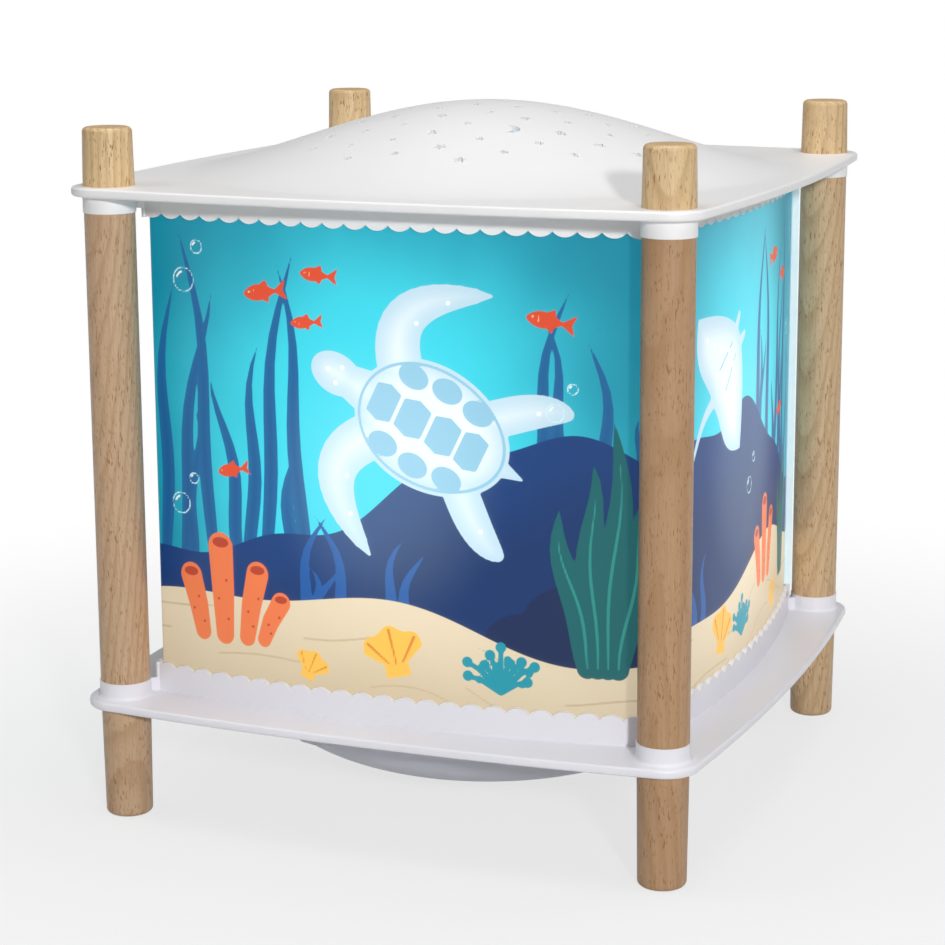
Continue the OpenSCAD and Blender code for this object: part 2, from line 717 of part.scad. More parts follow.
// A lead that leaves [x, y0, z0] along +Y and turns up to z1 after a quarter bend
lead_bend = 3;
module lead_up(x, y0, y1, z0, z1) {
    translate([x, y0, z0]) rotate([-90, 0, 0]) cylinder(d = lead_d, h = y1 - y0, $fn = 32);
    translate([x, y1, z0 + lead_bend]) rotate([0, 90, 0])
        rotate_extrude(angle = 90, $fn = 64) translate([lead_bend, 0]) circle(d = lead_d, $fn = 32);
    translate([x, y1 + lead_bend, z0 + lead_bend]) cylinder(d = lead_d, h = z1 - z0 - lead_bend, $fn = 32);
}
plug_in = 0.5;
plug_h = 4;
plug_y = board_y[0] + plug_in;
led_lead_z = board_z - 0.75 * plug_h;
module led_leads() color([0.75, 0.1, 0.1]) mirror([0, 1, 0]) for (x = [-1.2, 1.2])
    lead_up(x, -plug_y, -lead_bend, led_lead_z, lamp_board_z + board_t);

// Turning parts
drum_r = drum_d / 2;
module turntable() color(white) difference() {
    union() {
        translate([0, 0, table_z]) cylinder(r = drum_r + lip_t, h = table_t);
        translate([0, 0, gear_z]) cylinder(d = hub_d, h = hub_h);
        translate([0, 0, table_top - e]) ring(drum_r + lip_t, drum_r + 0.1, lip_h);
        translate([0, 0, table_top - e]) ring(drum_r - drum_film_t - 0.1, drum_r - drum_film_t - 1.6, 2);
    }
    translate([0, 0, gear_z - 1]) cylinder(r = journal_d / 2 + journal_fit + bush_wall, h = hub_h + 2);
    for (a = [0, 120, 240]) rotate(a + 30) translate([gear_screw_r, 0, table_z - 1])
        cylinder(d = small_screw[0] + 0.3, h = table_t + 2);
}
module hub_bush() color([0.93, 0.9, 0.8]) translate([0, 0, gear_z])
    ring(journal_d / 2 + journal_fit + bush_wall, journal_d / 2 + journal_fit, hub_h);
module ring_gear() color([0.9, 0.9, 0.86]) translate([0, 0, gear_z]) difference() {
    linear_extrude(gear_w) polygon(gear_points(wheel_teeth, backlash / 2));
    translate([0, 0, -1]) cylinder(r = gear_screw_r - 4, h = gear_w + 2);
    for (a = [0, 120, 240]) rotate(a + 30) translate([gear_screw_r, 0, -1])
        cylinder(d = small_screw[0], h = gear_w + 2);
}
module gear_screws() color(steel) for (a = [0, 120, 240]) rotate(a + 30) translate([gear_screw_r, 0, 0]) {
    translate([0, 0, table_top]) cylinder(d = small_screw[1], h = small_screw[2]);
    translate([0, 0, gear_z + 0.6]) cylinder(d = small_screw[0] - 2 * thread_fit, h = gear_w + table_t);
}
module drum_film() color(drum_blue) translate([0, 0, table_top]) ring(drum_r, drum_r - drum_film_t, drum_film_h);
// The top ring: how far it covers the film, the height above the film, and its reach outside and inside the film
top_lap = 3;
top_cap = 1.5;
top_out = 1;
top_in = 4;
module drum_top_ring() color(white) translate([0, 0, table_top + drum_film_h - top_lap]) difference() {
    cylinder(r = drum_r + top_out, h = top_lap + top_cap);
    translate([0, 0, -1]) cylinder(r = drum_r - top_in, h = top_lap + top_cap + 2);
    translate([0, 0, -1]) ring(drum_r + 0.05, drum_r - drum_film_t - 0.05, top_lap + 1);
}

// Drive
motor_floor = deck_z - motor_h;
module gear_motor() color([0.62, 0.63, 0.66]) translate([centre_distance, 0, 0]) difference() {
    union() {
        translate([0, 0, motor_floor]) cylinder(d = motor_d, h = motor_h);
        translate([0, 0, deck_z - e]) cylinder(r = shaft_hole_r - 0.3, h = plate_t);
        translate([-4, -motor_screw_y - 3, deck_z - 1.5]) cube([8, 2 * motor_screw_y + 6, 1.5]);
    }
    translate([0, 0, deck_z - 8]) cylinder(r = shaft_d / 2 + journal_fit, h = 20);
    for (y = [-motor_screw_y, motor_screw_y]) translate([0, y, deck_z - 3]) cylinder(d = screw[0] + 0.3, h = 5);
}
module motor_screws() color(steel) for (y = [-motor_screw_y, motor_screw_y]) translate([centre_distance, y, 0]) {
    translate([0, 0, deck_z - 1.5 - screw[2]]) cylinder(d = screw[1], h = screw[2]);
    translate([0, 0, deck_z - 1.5 - e]) cylinder(d = screw[0] - 2 * thread_fit, h = plate_t + 3.5);
}
module motor_leads() color([0.1, 0.1, 0.12]) for (x = [-2, 2])
    lead_up(centre_distance + x - 6, side_of(motor_d / 2, x - 6), board_y[0] + 4, motor_floor + 5, board_z);
// Where a lead at distance x from the middle of a round case leaves its side: just clear of it all round
function side_of(r, x) = ceil(10 * sqrt(r * r - pow(max(0, abs(x) - lead_d / 2), 2)) + 1) / 10;
module motor_shaft() color(steel) translate([centre_distance, 0, deck_z - 7.7])
    cylinder(d = shaft_d, h = table_z - 0.6 - deck_z + 7.7);
pinion_z = gear_z - pinion_lap;
module drive_pinion() color([0.93, 0.9, 0.8]) translate([centre_distance, 0, pinion_z]) difference() {
    linear_extrude(gear_w) rotate(180 + 180 / pinion_teeth) polygon(gear_points(pinion_teeth, backlash / 2));
    translate([0, 0, -1]) cylinder(d = shaft_d, h = gear_w + 2);
}

// Speaker, facing down
speaker_r = speaker_d / 2;
magnet_h = 6;
module speaker_magnet() color([0.2, 0.2, 0.22]) translate([speaker_x, 0, deck_z - magnet_h])
    cylinder(d = magnet_d, h = magnet_h);
basket_z = deck_z - speaker_drop;
module speaker_basket() color(steel) translate([speaker_x, 0, basket_z]) rotate_extrude() {
    polygon([[0, 5], [0, 6], [magnet_d / 2 + 1, 6], [speaker_r - 3, 1.5],
        [speaker_r, 1.5], [speaker_r, 0], [speaker_r - 4, 0], [magnet_d / 2 + 0.5, 5]]);
}
module speaker_cone() color([0.15, 0.15, 0.16]) translate([speaker_x, 0, basket_z]) rotate_extrude()
    polygon([[0, 3.6], [0, 4.2], [6, 3.2], [speaker_r - 4.8, 0.6], [speaker_r - 4.8, -0.2], [6, 2.6]]);
module speaker_leads() color([0.1, 0.1, 0.12]) for (x = [14, 17])
    lead_up(speaker_x + x, side_of(speaker_r, x), board_y[0] + 4, basket_z + 0.8, board_z);

// Circuit board with its parts below it
module circuit_board() color(board_green) difference() {
    translate([board_x[0], board_y[0], board_z])
        cube([board_x[1] - board_x[0], board_y[1] - board_y[0], board_t]);
    for (p = board_holes) translate([p[0], p[1], board_z - 1]) cylinder(d = small_screw[0] + 0.3, h = board_t + 2);
}
module board_screws() color(steel) for (p = board_holes) translate([p[0], p[1], 0]) {
    translate([0, 0, board_z - small_screw[2]]) cylinder(d = small_screw[1], h = small_screw[2]);
    translate([0, 0, board_z - e]) cylinder(d = small_screw[0] - 2 * thread_fit, h = board_t + 3);
}
// Boxes below the board, the lamp's plug first: place from its near left corner, width, depth and height
board_boxes = [[23, plug_in, 6, 4, plug_h], [18, 11, 10, 7, 1.6], [38, 11, 6, 4, 1.2], [14, 23, 6, 4, 3]];
// The capacitor: place, diameter and height
capacitor = [48, 19, 6.3, 8];
module board_components() color([0.12, 0.12, 0.14]) translate([board_x[0], board_y[0], board_z]) {
    for (b = board_boxes) translate([b[0], b[1], -b[4]]) cube([b[2], b[3], b[4]]);
    translate([capacitor[0], capacitor[1], -capacitor[3]]) cylinder(d = capacitor[2], h = capacitor[3]);
}
module power_socket() color([0.12, 0.12, 0.13]) translate([0, socket_y, socket_z]) difference() {
    translate([-socket_size / 2, 0, -socket_size / 2]) cube([socket_size, socket_l, socket_size]);
    difference() {
        translate([0, socket_l - 9.5, 0]) rotate([-90, 0, 0]) cylinder(d = socket_bore, h = 12);
        translate([0, socket_l - 10, 0]) rotate([-90, 0, 0]) cylinder(d = 2, h = 8.5);
    }
}

// Switch
slider_out = 1.8;
switch_in = 7;
switch_back = 1;
module at_switch() rotate(pod_angle) translate([pod_reach, 0, slider_z]) children();
module switch_body() color([0.2, 0.2, 0.22]) at_switch() difference() {
    translate([-pod_wall - switch_back - switch_in, -pod_w / 2 + pod_wall + 0.1, -2.4])
        cube([switch_in, pod_w - 2 * pod_wall - 0.2, 4.8]);
    translate([-pod_wall - 4, -slider_slot_w / 2, -slider_h / 2 - slider_gap])
        cube([5, slider_slot_w, slider_h + 2 * slider_gap]);
}
module switch_slider() color([0.95, 0.95, 0.95]) at_switch()
    translate([-pod_wall - 3.7, -slider_travel / 2 - slider_w / 2, -slider_h / 2])
        cube([pod_wall + 3.7 + slider_out, slider_w, slider_h]);

base_deck();
top_cover();
post(0);  // post_front_left
post(1);  // post_front_right
post(2);  // post_back_right
post(3);  // post_back_left
knob(0);  // knob_front_left
knob(1);  // knob_front_right
knob(2);  // knob_back_right
knob(3);  // knob_back_left
foot(0);  // foot_front_left
foot(1);  // foot_front_right
foot(2);  // foot_back_right
foot(3);  // foot_back_left
thread_inserts();
upper_studs();
lower_studs();
film_sleeve();
sleeve_seam_strip();
base_pan();
pan_screws();
centre_column();
column_screws();
thrust_washer();
retaining_clip();
lamp_holder();
led_board();
led_chips();
light_diffuser();
led_leads();
turntable();
hub_bush();
ring_gear();
gear_screws();
drum_film();
drum_top_ring();
gear_motor();
motor_screws();
motor_leads();
motor_shaft();
drive_pinion();
speaker_basket();
speaker_cone();
speaker_magnet();
speaker_leads();
circuit_board();
board_components();
board_screws();
power_socket();
switch_body();
switch_slider();
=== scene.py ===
import math

import bpy
import numpy as np
from bpy.props import FloatProperty, FloatVectorProperty, PointerProperty
from bpy.types import Operator, Panel, PropertyGroup
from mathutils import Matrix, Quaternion, Vector


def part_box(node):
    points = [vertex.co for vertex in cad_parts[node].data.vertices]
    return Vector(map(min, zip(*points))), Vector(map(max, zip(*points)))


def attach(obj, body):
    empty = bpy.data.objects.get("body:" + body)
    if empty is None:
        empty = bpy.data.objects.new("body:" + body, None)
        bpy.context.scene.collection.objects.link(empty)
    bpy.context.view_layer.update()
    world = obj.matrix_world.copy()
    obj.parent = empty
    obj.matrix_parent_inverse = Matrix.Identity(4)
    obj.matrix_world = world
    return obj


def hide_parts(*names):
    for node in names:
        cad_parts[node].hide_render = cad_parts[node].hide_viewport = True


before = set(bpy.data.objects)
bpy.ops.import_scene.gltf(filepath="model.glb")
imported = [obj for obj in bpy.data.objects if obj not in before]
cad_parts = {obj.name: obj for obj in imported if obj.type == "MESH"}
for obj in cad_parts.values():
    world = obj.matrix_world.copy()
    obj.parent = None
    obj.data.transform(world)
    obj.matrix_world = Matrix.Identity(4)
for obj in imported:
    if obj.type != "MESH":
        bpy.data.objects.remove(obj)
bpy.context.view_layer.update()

bl_info = {
    "name": "Square motion lantern",
    "version": (1, 0, 0),
    "blender": (4, 5, 0),
    "location": "View3D > Sidebar > Lantern",
    "description": "Dresses the square motion lantern: wood, plastic, printed sleeve, lamp and stage",
    "category": "Object",
}

MM = 0.001


def rgb(red, green, blue):
    """Linear colour of a display colour that is given in steps from 0 to 255."""
    parts = np.array([red, green, blue]) / 255
    linear = np.where(parts <= 0.04045, parts / 12.92, ((parts + 0.055) / 1.055) ** 2.4)
    return tuple(float(v) for v in linear)


def rgba(colour):
    """A colour with full cover, as a colour socket takes it."""
    return (*tuple(colour)[:3], 1.0)


def tint(name, description, colour):
    """A colour that a user may change."""
    return FloatVectorProperty(
        name=name, description=description, subtype="COLOR", size=3, min=0, max=1, default=rgb(*colour)
    )


def amount(name, description, value, low, high, **kind):
    """A number that a user may change, from low to high. Kind holds its unit, if it has one."""
    return FloatProperty(name=name, description=description, default=value, min=low, max=high, **kind)


def angle(name, description, degrees):
    """An angle that a user may change."""
    return FloatProperty(name=name, description=description, default=math.radians(degrees), subtype="ANGLE")


# ------------ settings


class WoodSettings(PropertyGroup):
    post_colour: tint("Post colour", "Beech of the posts and feet", (202, 170, 137))
    knob_colour: tint("Knob colour", "Paler beech of the knobs", (222, 193, 147))
    late_colour: tint("Late wood", "Darker wood at the end of each year's ring", (152, 108, 62))
    fleck_colour: tint("Fleck colour", "Short rays that cross the grain", (142, 92, 54))
    ring_width: amount("Ring width", "Width of one year's growth", 0.0022, 0.001, 0.01, unit="LENGTH")
    fleck_strength: amount("Flecks", "How strongly the flecks show", 0.75, 0, 1)


class PlasticSettings(PropertyGroup):
    cover_colour: tint("Cover", "White plastic of the domed cover", (244, 243, 243))
    # The deck's colour is a little darker and bluer than the cover's white: a painted shade and reflection on
    # its white plastic.
    deck_colour_and_painted_shade: tint("Deck", "White plastic of the deck", (238, 237, 243))
    pan_colour: tint("Pan", "Grey plastic of the pan", (232, 234, 244))
    inner_colour: tint("Inner parts", "Plastic of the column and the turntable", (238, 238, 236))
    bearing_colour: tint("Bearing plastic", "Plastic of the gears and the bush", (236, 228, 206))


class PrintSettings(PropertyGroup):
    water: tint("Water", "Lit water", (62, 214, 232))
    water_deep: tint("Deep water", "Water at the rim of the print", (6, 142, 168))
    glow: amount("Glow", "Light of the lit print", 0.8, 0, 3)
    cell: amount("Grid cell", "Cell of the sleeve's grid", 0.0006, 0.0004, 0.003, unit="LENGTH")


class LampSettings(PropertyGroup):
    lamp_colour: tint("Lamp", "Light of the lamp inside", (255, 236, 205))
    lamp_glow: amount("Lamp glow", "Light of the frosted cap", 1.5, 0, 10)


class StageSettings(PropertyGroup):
    floor_colour: tint("Floor", "Plain pale floor", (202, 202, 202))
    lens: amount("Lens", "Focal length of the camera in millimetres", 96.72, 20, 300)
    distance: amount("Distance", "Camera to the middle of the lantern", 0.81217, 0.2, 5, unit="LENGTH")
    azimuth: angle("Azimuth", "Camera's turn round the lantern", 21.30)
    elevation: angle("Elevation", "Camera's rise over the horizon", 11.97)
    aim_height: amount("Aim height", "Height that the camera looks at", 0.10241, 0, 0.3, unit="LENGTH")
    roll: angle("Roll", "Camera's roll", -0.196)
    key_power: amount("Key light", "Power of the key light in watts", 12.5, 0, 100)
    fill_power: amount("Fill light", "Power of the fill light in watts", 5.0, 0, 100)
    top_power: amount("Top light", "Power of the top light in watts", 12.2, 0, 100)
    back_power: amount("Back light", "Power of the back light in watts", 3.0, 0, 100)
    sky: amount("Sky", "Level of the even light from all round", 0.12, 0, 2)


# ------------ shader maths


class Link:
    """A socket of a finish. Sums and products of links add the Math nodes that work them out."""

    def __init__(self, finish, socket):
        self.finish, self.socket = finish, socket

    def output(self, name):
        """Another output of the same node."""
        return Link(self.finish, self.socket.node.outputs[name])

    def maths(self, operation, *values):
        """A Math node on the given values."""
        return self.finish.node("ShaderNodeMath", {"operation": operation}, dict(enumerate(values)))

    def __add__(self, other):
        return self.maths("ADD", self, other)

    def __radd__(self, other):
        return self.maths("ADD", other, self)

    def __sub__(self, other):
        return self.maths("SUBTRACT", self, other)

    def __rsub__(self, other):
        return self.maths("SUBTRACT", other, self)

    def __mul__(self, other):
        return self.maths("MULTIPLY", self, other)

    def __truediv__(self, other):
        return self.maths("DIVIDE", self, other)

    def __pow__(self, other):
        return self.maths("POWER", self, other)

    def fraction(self):
        """What is left over whole numbers, from 0 to 1."""
        return self.maths("FRACT", self)

    def greater(self, other):
        """The greater of two values."""
        return self.maths("MAXIMUM", self, other)

    def step(self, start, end, low=0.0, high=1.0):
        """A smooth step from low at start to high at end."""
        return self.finish.node(
            "ShaderNodeMapRange",
            {"interpolation_type": "SMOOTHSTEP"},
            {"Value": self, "From Min": start, "From Max": end, "To Min": low, "To Max": high},
        )


class Finish:
    """A material with one method that adds a node."""

    def __init__(self, name):
        self.material = bpy.data.materials.new(name)
        self.material.use_nodes = True
        self.tree = self.material.node_tree
        self.tree.nodes.clear()

    def node(self, kind, settings=None, inputs=None, out=0):
        """Adds a node: settings first, then its sockets by name or number. Returns one of its outputs."""
        made = self.tree.nodes.new(kind)
        for key, value in (settings or {}).items():
            setattr(made, key, value)
        for key, value in (inputs or {}).items():
            if isinstance(value, Link):
                self.tree.links.new(value.socket, made.inputs[key])
            else:
                made.inputs[key].default_value = value
        return Link(self, made.outputs[out])

    def mix(self, factor, first, second):
        """Colour that goes from first to second as factor goes from 0 to 1. Sockets 6 and 7 and output 2 of
        a Mix node are those for colours."""
        first, second = (v if isinstance(v, Link) else rgba(v) for v in (first, second))
        return self.node("ShaderNodeMix", {"data_type": "RGBA"}, {0: factor, 6: first, 7: second}, out=2)

    def scaled(self, colour, factor):
        """Colour times a factor, each channel alike."""
        return self.node("ShaderNodeVectorMath", {"operation": "SCALE"}, {0: colour, "Scale": factor})

    def mapped(self, where, offset=(0, 0, 0), turn=(0, 0, 0), scale=(1, 1, 1)):
        """Coordinates, scaled, turned and moved."""
        change = {"Location": offset, "Rotation": turn, "Scale": scale}
        return self.node("ShaderNodeMapping", {}, {"Vector": where, **change})

    def place(self, offset=(0, 0, 0), scale=(1, 1, 1)):
        """Object coordinates, scaled and moved."""
        return self.mapped(self.node("ShaderNodeTexCoord", out="Object"), offset=offset, scale=scale)

    def noise(self, where, scale, detail=2.0, rough=0.5):
        """Noise from 0 to 1."""
        return self.node(
            "ShaderNodeTexNoise", {}, {"Vector": where, "Scale": scale, "Detail": detail, "Roughness": rough}
        )

    def bump(self, height, depth, strength=1.0):
        """A normal from a height from 0 to 1, depth metres deep."""
        return self.node("ShaderNodeBump", {}, {"Height": height, "Distance": depth, "Strength": strength})

    def surface(self, **values):
        """Ends the finish in a Principled surface. Socket names are written with underscores."""
        names = {key.replace("_", " ").title().replace("Ior", "IOR"): value for key, value in values.items()}
        return self.end(self.node("ShaderNodeBsdfPrincipled", {}, names))

    def end(self, shader):
        """Ends the finish in any shader."""
        output = self.tree.nodes.new("ShaderNodeOutputMaterial")
        self.tree.links.new(shader.socket, output.inputs["Surface"])
        return self.material


WELD_GAP = 0.001 * MM  # points of a CAD mesh that lie closer than this are one point
HARD_EDGE = math.radians(28)  # least angle between two faces that makes a sharp edge
LARGE_FACES = 60  # how much more large faces count in the shading


def wear(material, *nodes):
    """Gives CAD nodes a finish, with soft shading over curved faces and hard edges kept."""
    for name in nodes:
        piece = bpy.data.objects[name]
        slots = piece.data.materials
        if not slots:
            slots.append(material)
        for number in range(len(slots)):
            slots[number] = material
        piece.data.polygons.foreach_set("use_smooth", np.ones(len(piece.data.polygons), bool))
        piece.modifiers.new("Weld", "WELD").merge_threshold = WELD_GAP
        piece.modifiers.new("Hard edges", "EDGE_SPLIT").split_angle = HARD_EDGE
        piece.modifiers.new("Even shading", "WEIGHTED_NORMAL").weight = LARGE_FACES


def axis_of(node):
    """Middle of a node's box, seen from above."""
    low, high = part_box(node)
    return (low[0] + high[0]) / 2, (low[1] + high[1]) / 2


# ------------ wood


# How far the wood of each corner goes from the post colour: below 0 to the darker late wood, above 0 to
# the paler beech of the knobs
PLANK_TONES = {"front_left": 0.0, "front_right": -0.45, "back_right": 0.5, "back_left": 0.2}
NEXT_PIECE = 1.37  # step of the seed from one wooden piece to the next


def pith_of(seed):
    """Where a piece lay in its plank: how far beside the pith, and how much it leans, in three angles."""
    beside = 0.0135 + 0.004 * math.sin(3.1 * seed)
    lean = (0.10 + 0.05 * math.sin(2.3 * seed), 0.02 * math.cos(1.7 * seed), 1.2 + 0.7 * math.sin(5.1 * seed))
    return beside, lean


def year_rings(finish, turned, beside, ring_width, seed):
    """Late wood, from 0 to 1: it grows over each year's width and ends sharply. The distance to the pith is
    counted in years, and slow and quick noise make the rings sway."""
    sway, waver = finish.noise(turned, 26.0), finish.noise(turned, 150.0)
    deep = finish.node("ShaderNodeSeparateXYZ", {}, {"Vector": turned})
    across = deep.output("Y")
    distance = ((deep - beside) * (deep - beside) + across * across) ** 0.5
    year = (distance / ring_width + sway * 1.5 + waver * 0.4 + seed * 0.37).fraction()
    return year.step(0.35, 0.88) * year.step(0.88, 1.0, 1.0, 0.0)


def beech(name, colour, late, fleck, settings, axis, seed):
    """Beech turned from a plank. The rings are circles round a pith that lies beside the piece and leans a
    little, so that they cut its side in long arches, and the rays are short dark dashes along the grain."""
    finish = Finish(name)
    beside, lean = pith_of(seed)
    centred = finish.place(offset=(-axis[0], -axis[1], 0.013 * seed))
    ring = year_rings(finish, finish.mapped(centred, turn=lean), beside, settings.ring_width, seed)
    broad = finish.noise(finish.mapped(centred, scale=(1, 1, 0.22)), 170.0, 3.0)
    fibre = finish.noise(finish.mapped(centred, scale=(1, 1, 0.035)), 1500.0, 3.0, 0.6)
    rays = finish.noise(finish.mapped(centred, scale=(1, 1, 0.18)), 2300.0, 1.0)
    patch = finish.noise(centred, 120.0, 1.0)
    dashes = rays.step(0.59, 0.69) * patch.step(0.35, 0.6, 0.35, 1.0)
    wood = finish.mix(ring * 0.3 + (broad - 0.5) * 0.35, colour, late)
    wood = finish.mix(fibre.step(0.35, 0.75) * 0.25, wood, late)
    wood = finish.mix(dashes * settings.fleck_strength, wood, fleck)
    rough = 0.42 + dashes * 0.12 + (fibre - 0.5) * 0.12
    height = (1 - dashes) * 0.6 + fibre * 0.4
    return finish.surface(
        base_color=wood, roughness=rough, normal=finish.bump(height, 0.06 * MM, 0.5), specular_ior_level=0.4
    )


class LANTERN_OT_wood(Operator):
    """Gives each post, knob and foot its own piece of beech"""

    bl_idname = "lantern.wood"
    bl_label = "Posts, knobs and feet"

    def execute(self, context):
        wood = context.scene.lantern_wood
        knob, post, late = (np.array(tone) for tone in (wood.knob_colour, wood.post_colour, wood.late_colour))
        seed = 1.0
        for corner, tone in PLANK_TONES.items():
            plank = post + abs(tone) * ((knob if tone > 0 else late) - post)
            for kind, colour in (("post", plank), ("knob", knob), ("foot", plank)):
                node = f"{kind}_{corner}"
                wear(beech(f"beech_{node}", colour, late, wood.fleck_colour, wood, axis_of(node), seed), node)
                seed += NEXT_PIECE
        return {"FINISHED"}


# ------------ plastic


def moulded(name, colour, rough, grain):
    """Moulded plastic: one colour with a very faint flow pattern, and a fine skin that softens its gloss.
    Grain is how strongly the skin shows."""
    finish = Finish(name)
    where = finish.place()
    flow = finish.noise(where, 14.0)
    skin = finish.noise(where, 900.0)
    base = finish.mix(flow.step(0.35, 0.65), colour, tuple(v * 0.965 for v in colour))
    return finish.surface(
        base_color=base,
        roughness=rough + (flow - 0.5) * 0.08 + (skin - 0.5) * 0.06,
        normal=finish.bump(skin, 0.02 * MM, grain),
        specular_ior_level=0.45,
    )


class LANTERN_OT_plates(Operator):
    """Gives the deck and the domed cover their white plastic; the deck's has a painted shade and reflection
    that make it darker and bluer
    """

    bl_idname = "lantern.plates"
    bl_label = "Deck and cover"

    def execute(self, context):
        plastic = context.scene.lantern_plastic
        wear(moulded("cover_plastic", tuple(plastic.cover_colour), 0.42, 0.08), "top_cover")
        # The deck's colour holds a painted shade and reflection, darker and bluer than the cover.
        wear(moulded("deck_plastic", tuple(plastic.deck_colour_and_painted_shade), 0.30, 0.05), "base_deck")
        return {"FINISHED"}


class LANTERN_OT_pan(Operator):
    """Gives the pan, the switch and the socket their finishes"""

    bl_idname = "lantern.pan"
    bl_label = "Pan, switch and socket"

    def execute(self, context):
        plastic = context.scene.lantern_plastic
        wear(moulded("pan_plastic", tuple(plastic.pan_colour), 0.5, 0.2), "base_pan")
        wear(moulded("black_plastic", rgb(28, 28, 31), 0.4, 0.2), "switch_body", "power_socket")
        wear(moulded("slider_plastic", rgb(240, 240, 238), 0.35, 0.1), "switch_slider")
        return {"FINISHED"}


# ------------ metals and inner parts


def metal(name, colour, rough):
    """Turned or drawn metal: fine tool marks change its gloss and its colour a little."""
    finish = Finish(name)
    marks = finish.noise(finish.place(scale=(1, 1, 7)), 700.0)
    stain = finish.noise(finish.place(), 90.0)
    base = finish.mix(stain.step(0.3, 0.7), colour, tuple(v * 0.82 for v in colour))
    tooled = rough + (marks - 0.5) * 0.2
    grooves = finish.bump(marks, 0.02 * MM, 0.3)
    return finish.surface(base_color=base, metallic=1.0, roughness=tooled, normal=grooves)


def laminate(name, colour, copper):
    """Circuit board: a lacquered sheet whose weave just shows, with paler tracks under the lacquer."""
    finish = Finish(name)
    where = finish.place()
    grid = {"Vector": where, "Scale": 95.0, "Mortar Size": 0.03}
    tracks = finish.node("ShaderNodeTexBrick", {}, grid, out="Fac")
    weave = finish.noise(where, 1600.0, 1.0)
    base = finish.mix(tracks * 0.35 + weave * 0.1, colour, copper)
    rough = 0.32 + weave * 0.1
    return finish.surface(base_color=base, roughness=rough, normal=finish.bump(tracks, 0.03 * MM, 0.4))


def paper(name, colour):
    """Pressed paper pulp: fibres on it make it mottled and dull."""
    finish = Finish(name)
    pulp = finish.noise(finish.place(), 800.0, 4.0, 0.7)
    base = finish.mix(pulp, colour, tuple(2 * v for v in colour))
    return finish.surface(base_color=base, roughness=0.85, normal=finish.bump(pulp, 0.1 * MM, 0.5))


class LANTERN_OT_electrics(Operator):
    """Gives the motor, the speaker, the board, the leads and the fasteners their finishes"""

    bl_idname = "lantern.electrics"
    bl_label = "Motor, speaker, board and fasteners"

    def execute(self, context):
        wear(
            metal("steel", rgb(190, 192, 196), 0.3),
            "upper_studs", "lower_studs", "pan_screws", "column_screws", "retaining_clip", "gear_screws",
            "motor_screws", "motor_shaft", "board_screws", "speaker_basket",
        )
        wear(metal("motor_case", rgb(170, 172, 178), 0.4), "gear_motor", "speaker_magnet")
        wear(metal("brass", rgb(205, 170, 95), 0.3), "thread_inserts", "thrust_washer")
        wear(laminate("circuit_laminate", rgb(22, 92, 52), rgb(74, 150, 84)), "circuit_board")
        wear(moulded("component_body", rgb(30, 30, 33), 0.45, 0.3), "board_components")
        wear(moulded("lead_sleeve_black", rgb(30, 30, 34), 0.5, 0.2), "motor_leads", "speaker_leads")
        wear(moulded("lead_sleeve_red", rgb(176, 30, 26), 0.5, 0.2), "led_leads")
        wear(paper("speaker_paper", rgb(34, 33, 35)), "speaker_cone")
        return {"FINISHED"}


def lit(name, colour, glow, low, middle, high):
    """Frosted plastic that the lamp lights from inside: it brightens from the low to the middle height and
    falls to six tenths at the high one."""
    finish = Finish(name)
    where = finish.place()
    height = finish.node("ShaderNodeSeparateXYZ", {}, {"Vector": where}, out="Z")
    frost = finish.noise(where, 500.0)
    level = height.step(low, middle) * height.step(middle, high, 1.0, 0.6) * (0.92 + frost * 0.16)
    shine = finish.mix(level, tuple(v * 0.5 for v in colour), colour)
    base = finish.mix(frost, (0.9, 0.9, 0.88), (0.82, 0.82, 0.8))
    return finish.surface(base_color=base, roughness=0.6, emission_color=shine, emission_strength=glow)


class LANTERN_OT_lamp(Operator):
    """Gives the column, the lamp board and the frosted cap their finishes"""

    bl_idname = "lantern.lamp"
    bl_label = "Column and lamp"

    def execute(self, context):
        plastic, lamp = context.scene.lantern_plastic, context.scene.lantern_lamp
        wear(moulded("inner_plastic", tuple(plastic.inner_colour), 0.4, 0.1), "centre_column", "lamp_holder")
        wear(laminate("lamp_laminate", rgb(232, 234, 230), rgb(206, 210, 204)), "led_board")
        low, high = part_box("light_diffuser")
        middle = (low[2] + high[2]) / 2
        light = tuple(lamp.lamp_colour)
        wear(lit("frosted_cap", light, lamp.lamp_glow, low[2], middle, high[2]), "light_diffuser")
        wear(lit("light_chip", light, 2 * lamp.lamp_glow, 0, middle - 10 * MM, 1), "led_chips")
        return {"FINISHED"}


# ------------ drum


def drum_print(name):
    """The drum's film: a soft, blurred pattern of pale and deep patches in the colours of shallow water,
    lit from inside, which is seen moving behind the sleeve."""
    finish = Finish(name)
    large = finish.noise(finish.place(scale=(1, 1, 0.8)), 24.0, 1.0)
    small = finish.noise(finish.place(offset=(0.3, 0.1, 0.2)), 60.0, 1.0)
    base = finish.mix(large.step(0.38, 0.62), rgb(28, 120, 170), rgb(120, 228, 238))
    base = finish.mix(small.step(0.55, 0.68) * 0.8, base, rgb(250, 240, 190))
    return finish.surface(base_color=base, roughness=0.4, emission_color=base, emission_strength=0.8)


class LANTERN_OT_drum(Operator):
    """Gives the turning drum, its table and its gears their finishes"""

    bl_idname = "lantern.drum"
    bl_label = "Turning drum and gears"

    def execute(self, context):
        plastic = context.scene.lantern_plastic
        wear(drum_print("drum_print"), "drum_film")
        table = moulded("turntable_plastic", tuple(plastic.inner_colour), 0.4, 0.1)
        wear(table, "turntable", "drum_top_ring")
        bearing = moulded("bearing_plastic", tuple(plastic.bearing_colour), 0.45, 0.1)
        wear(bearing, "hub_bush", "ring_gear", "drive_pinion")
        return {"FINISHED"}


# ------------ the sleeve's print

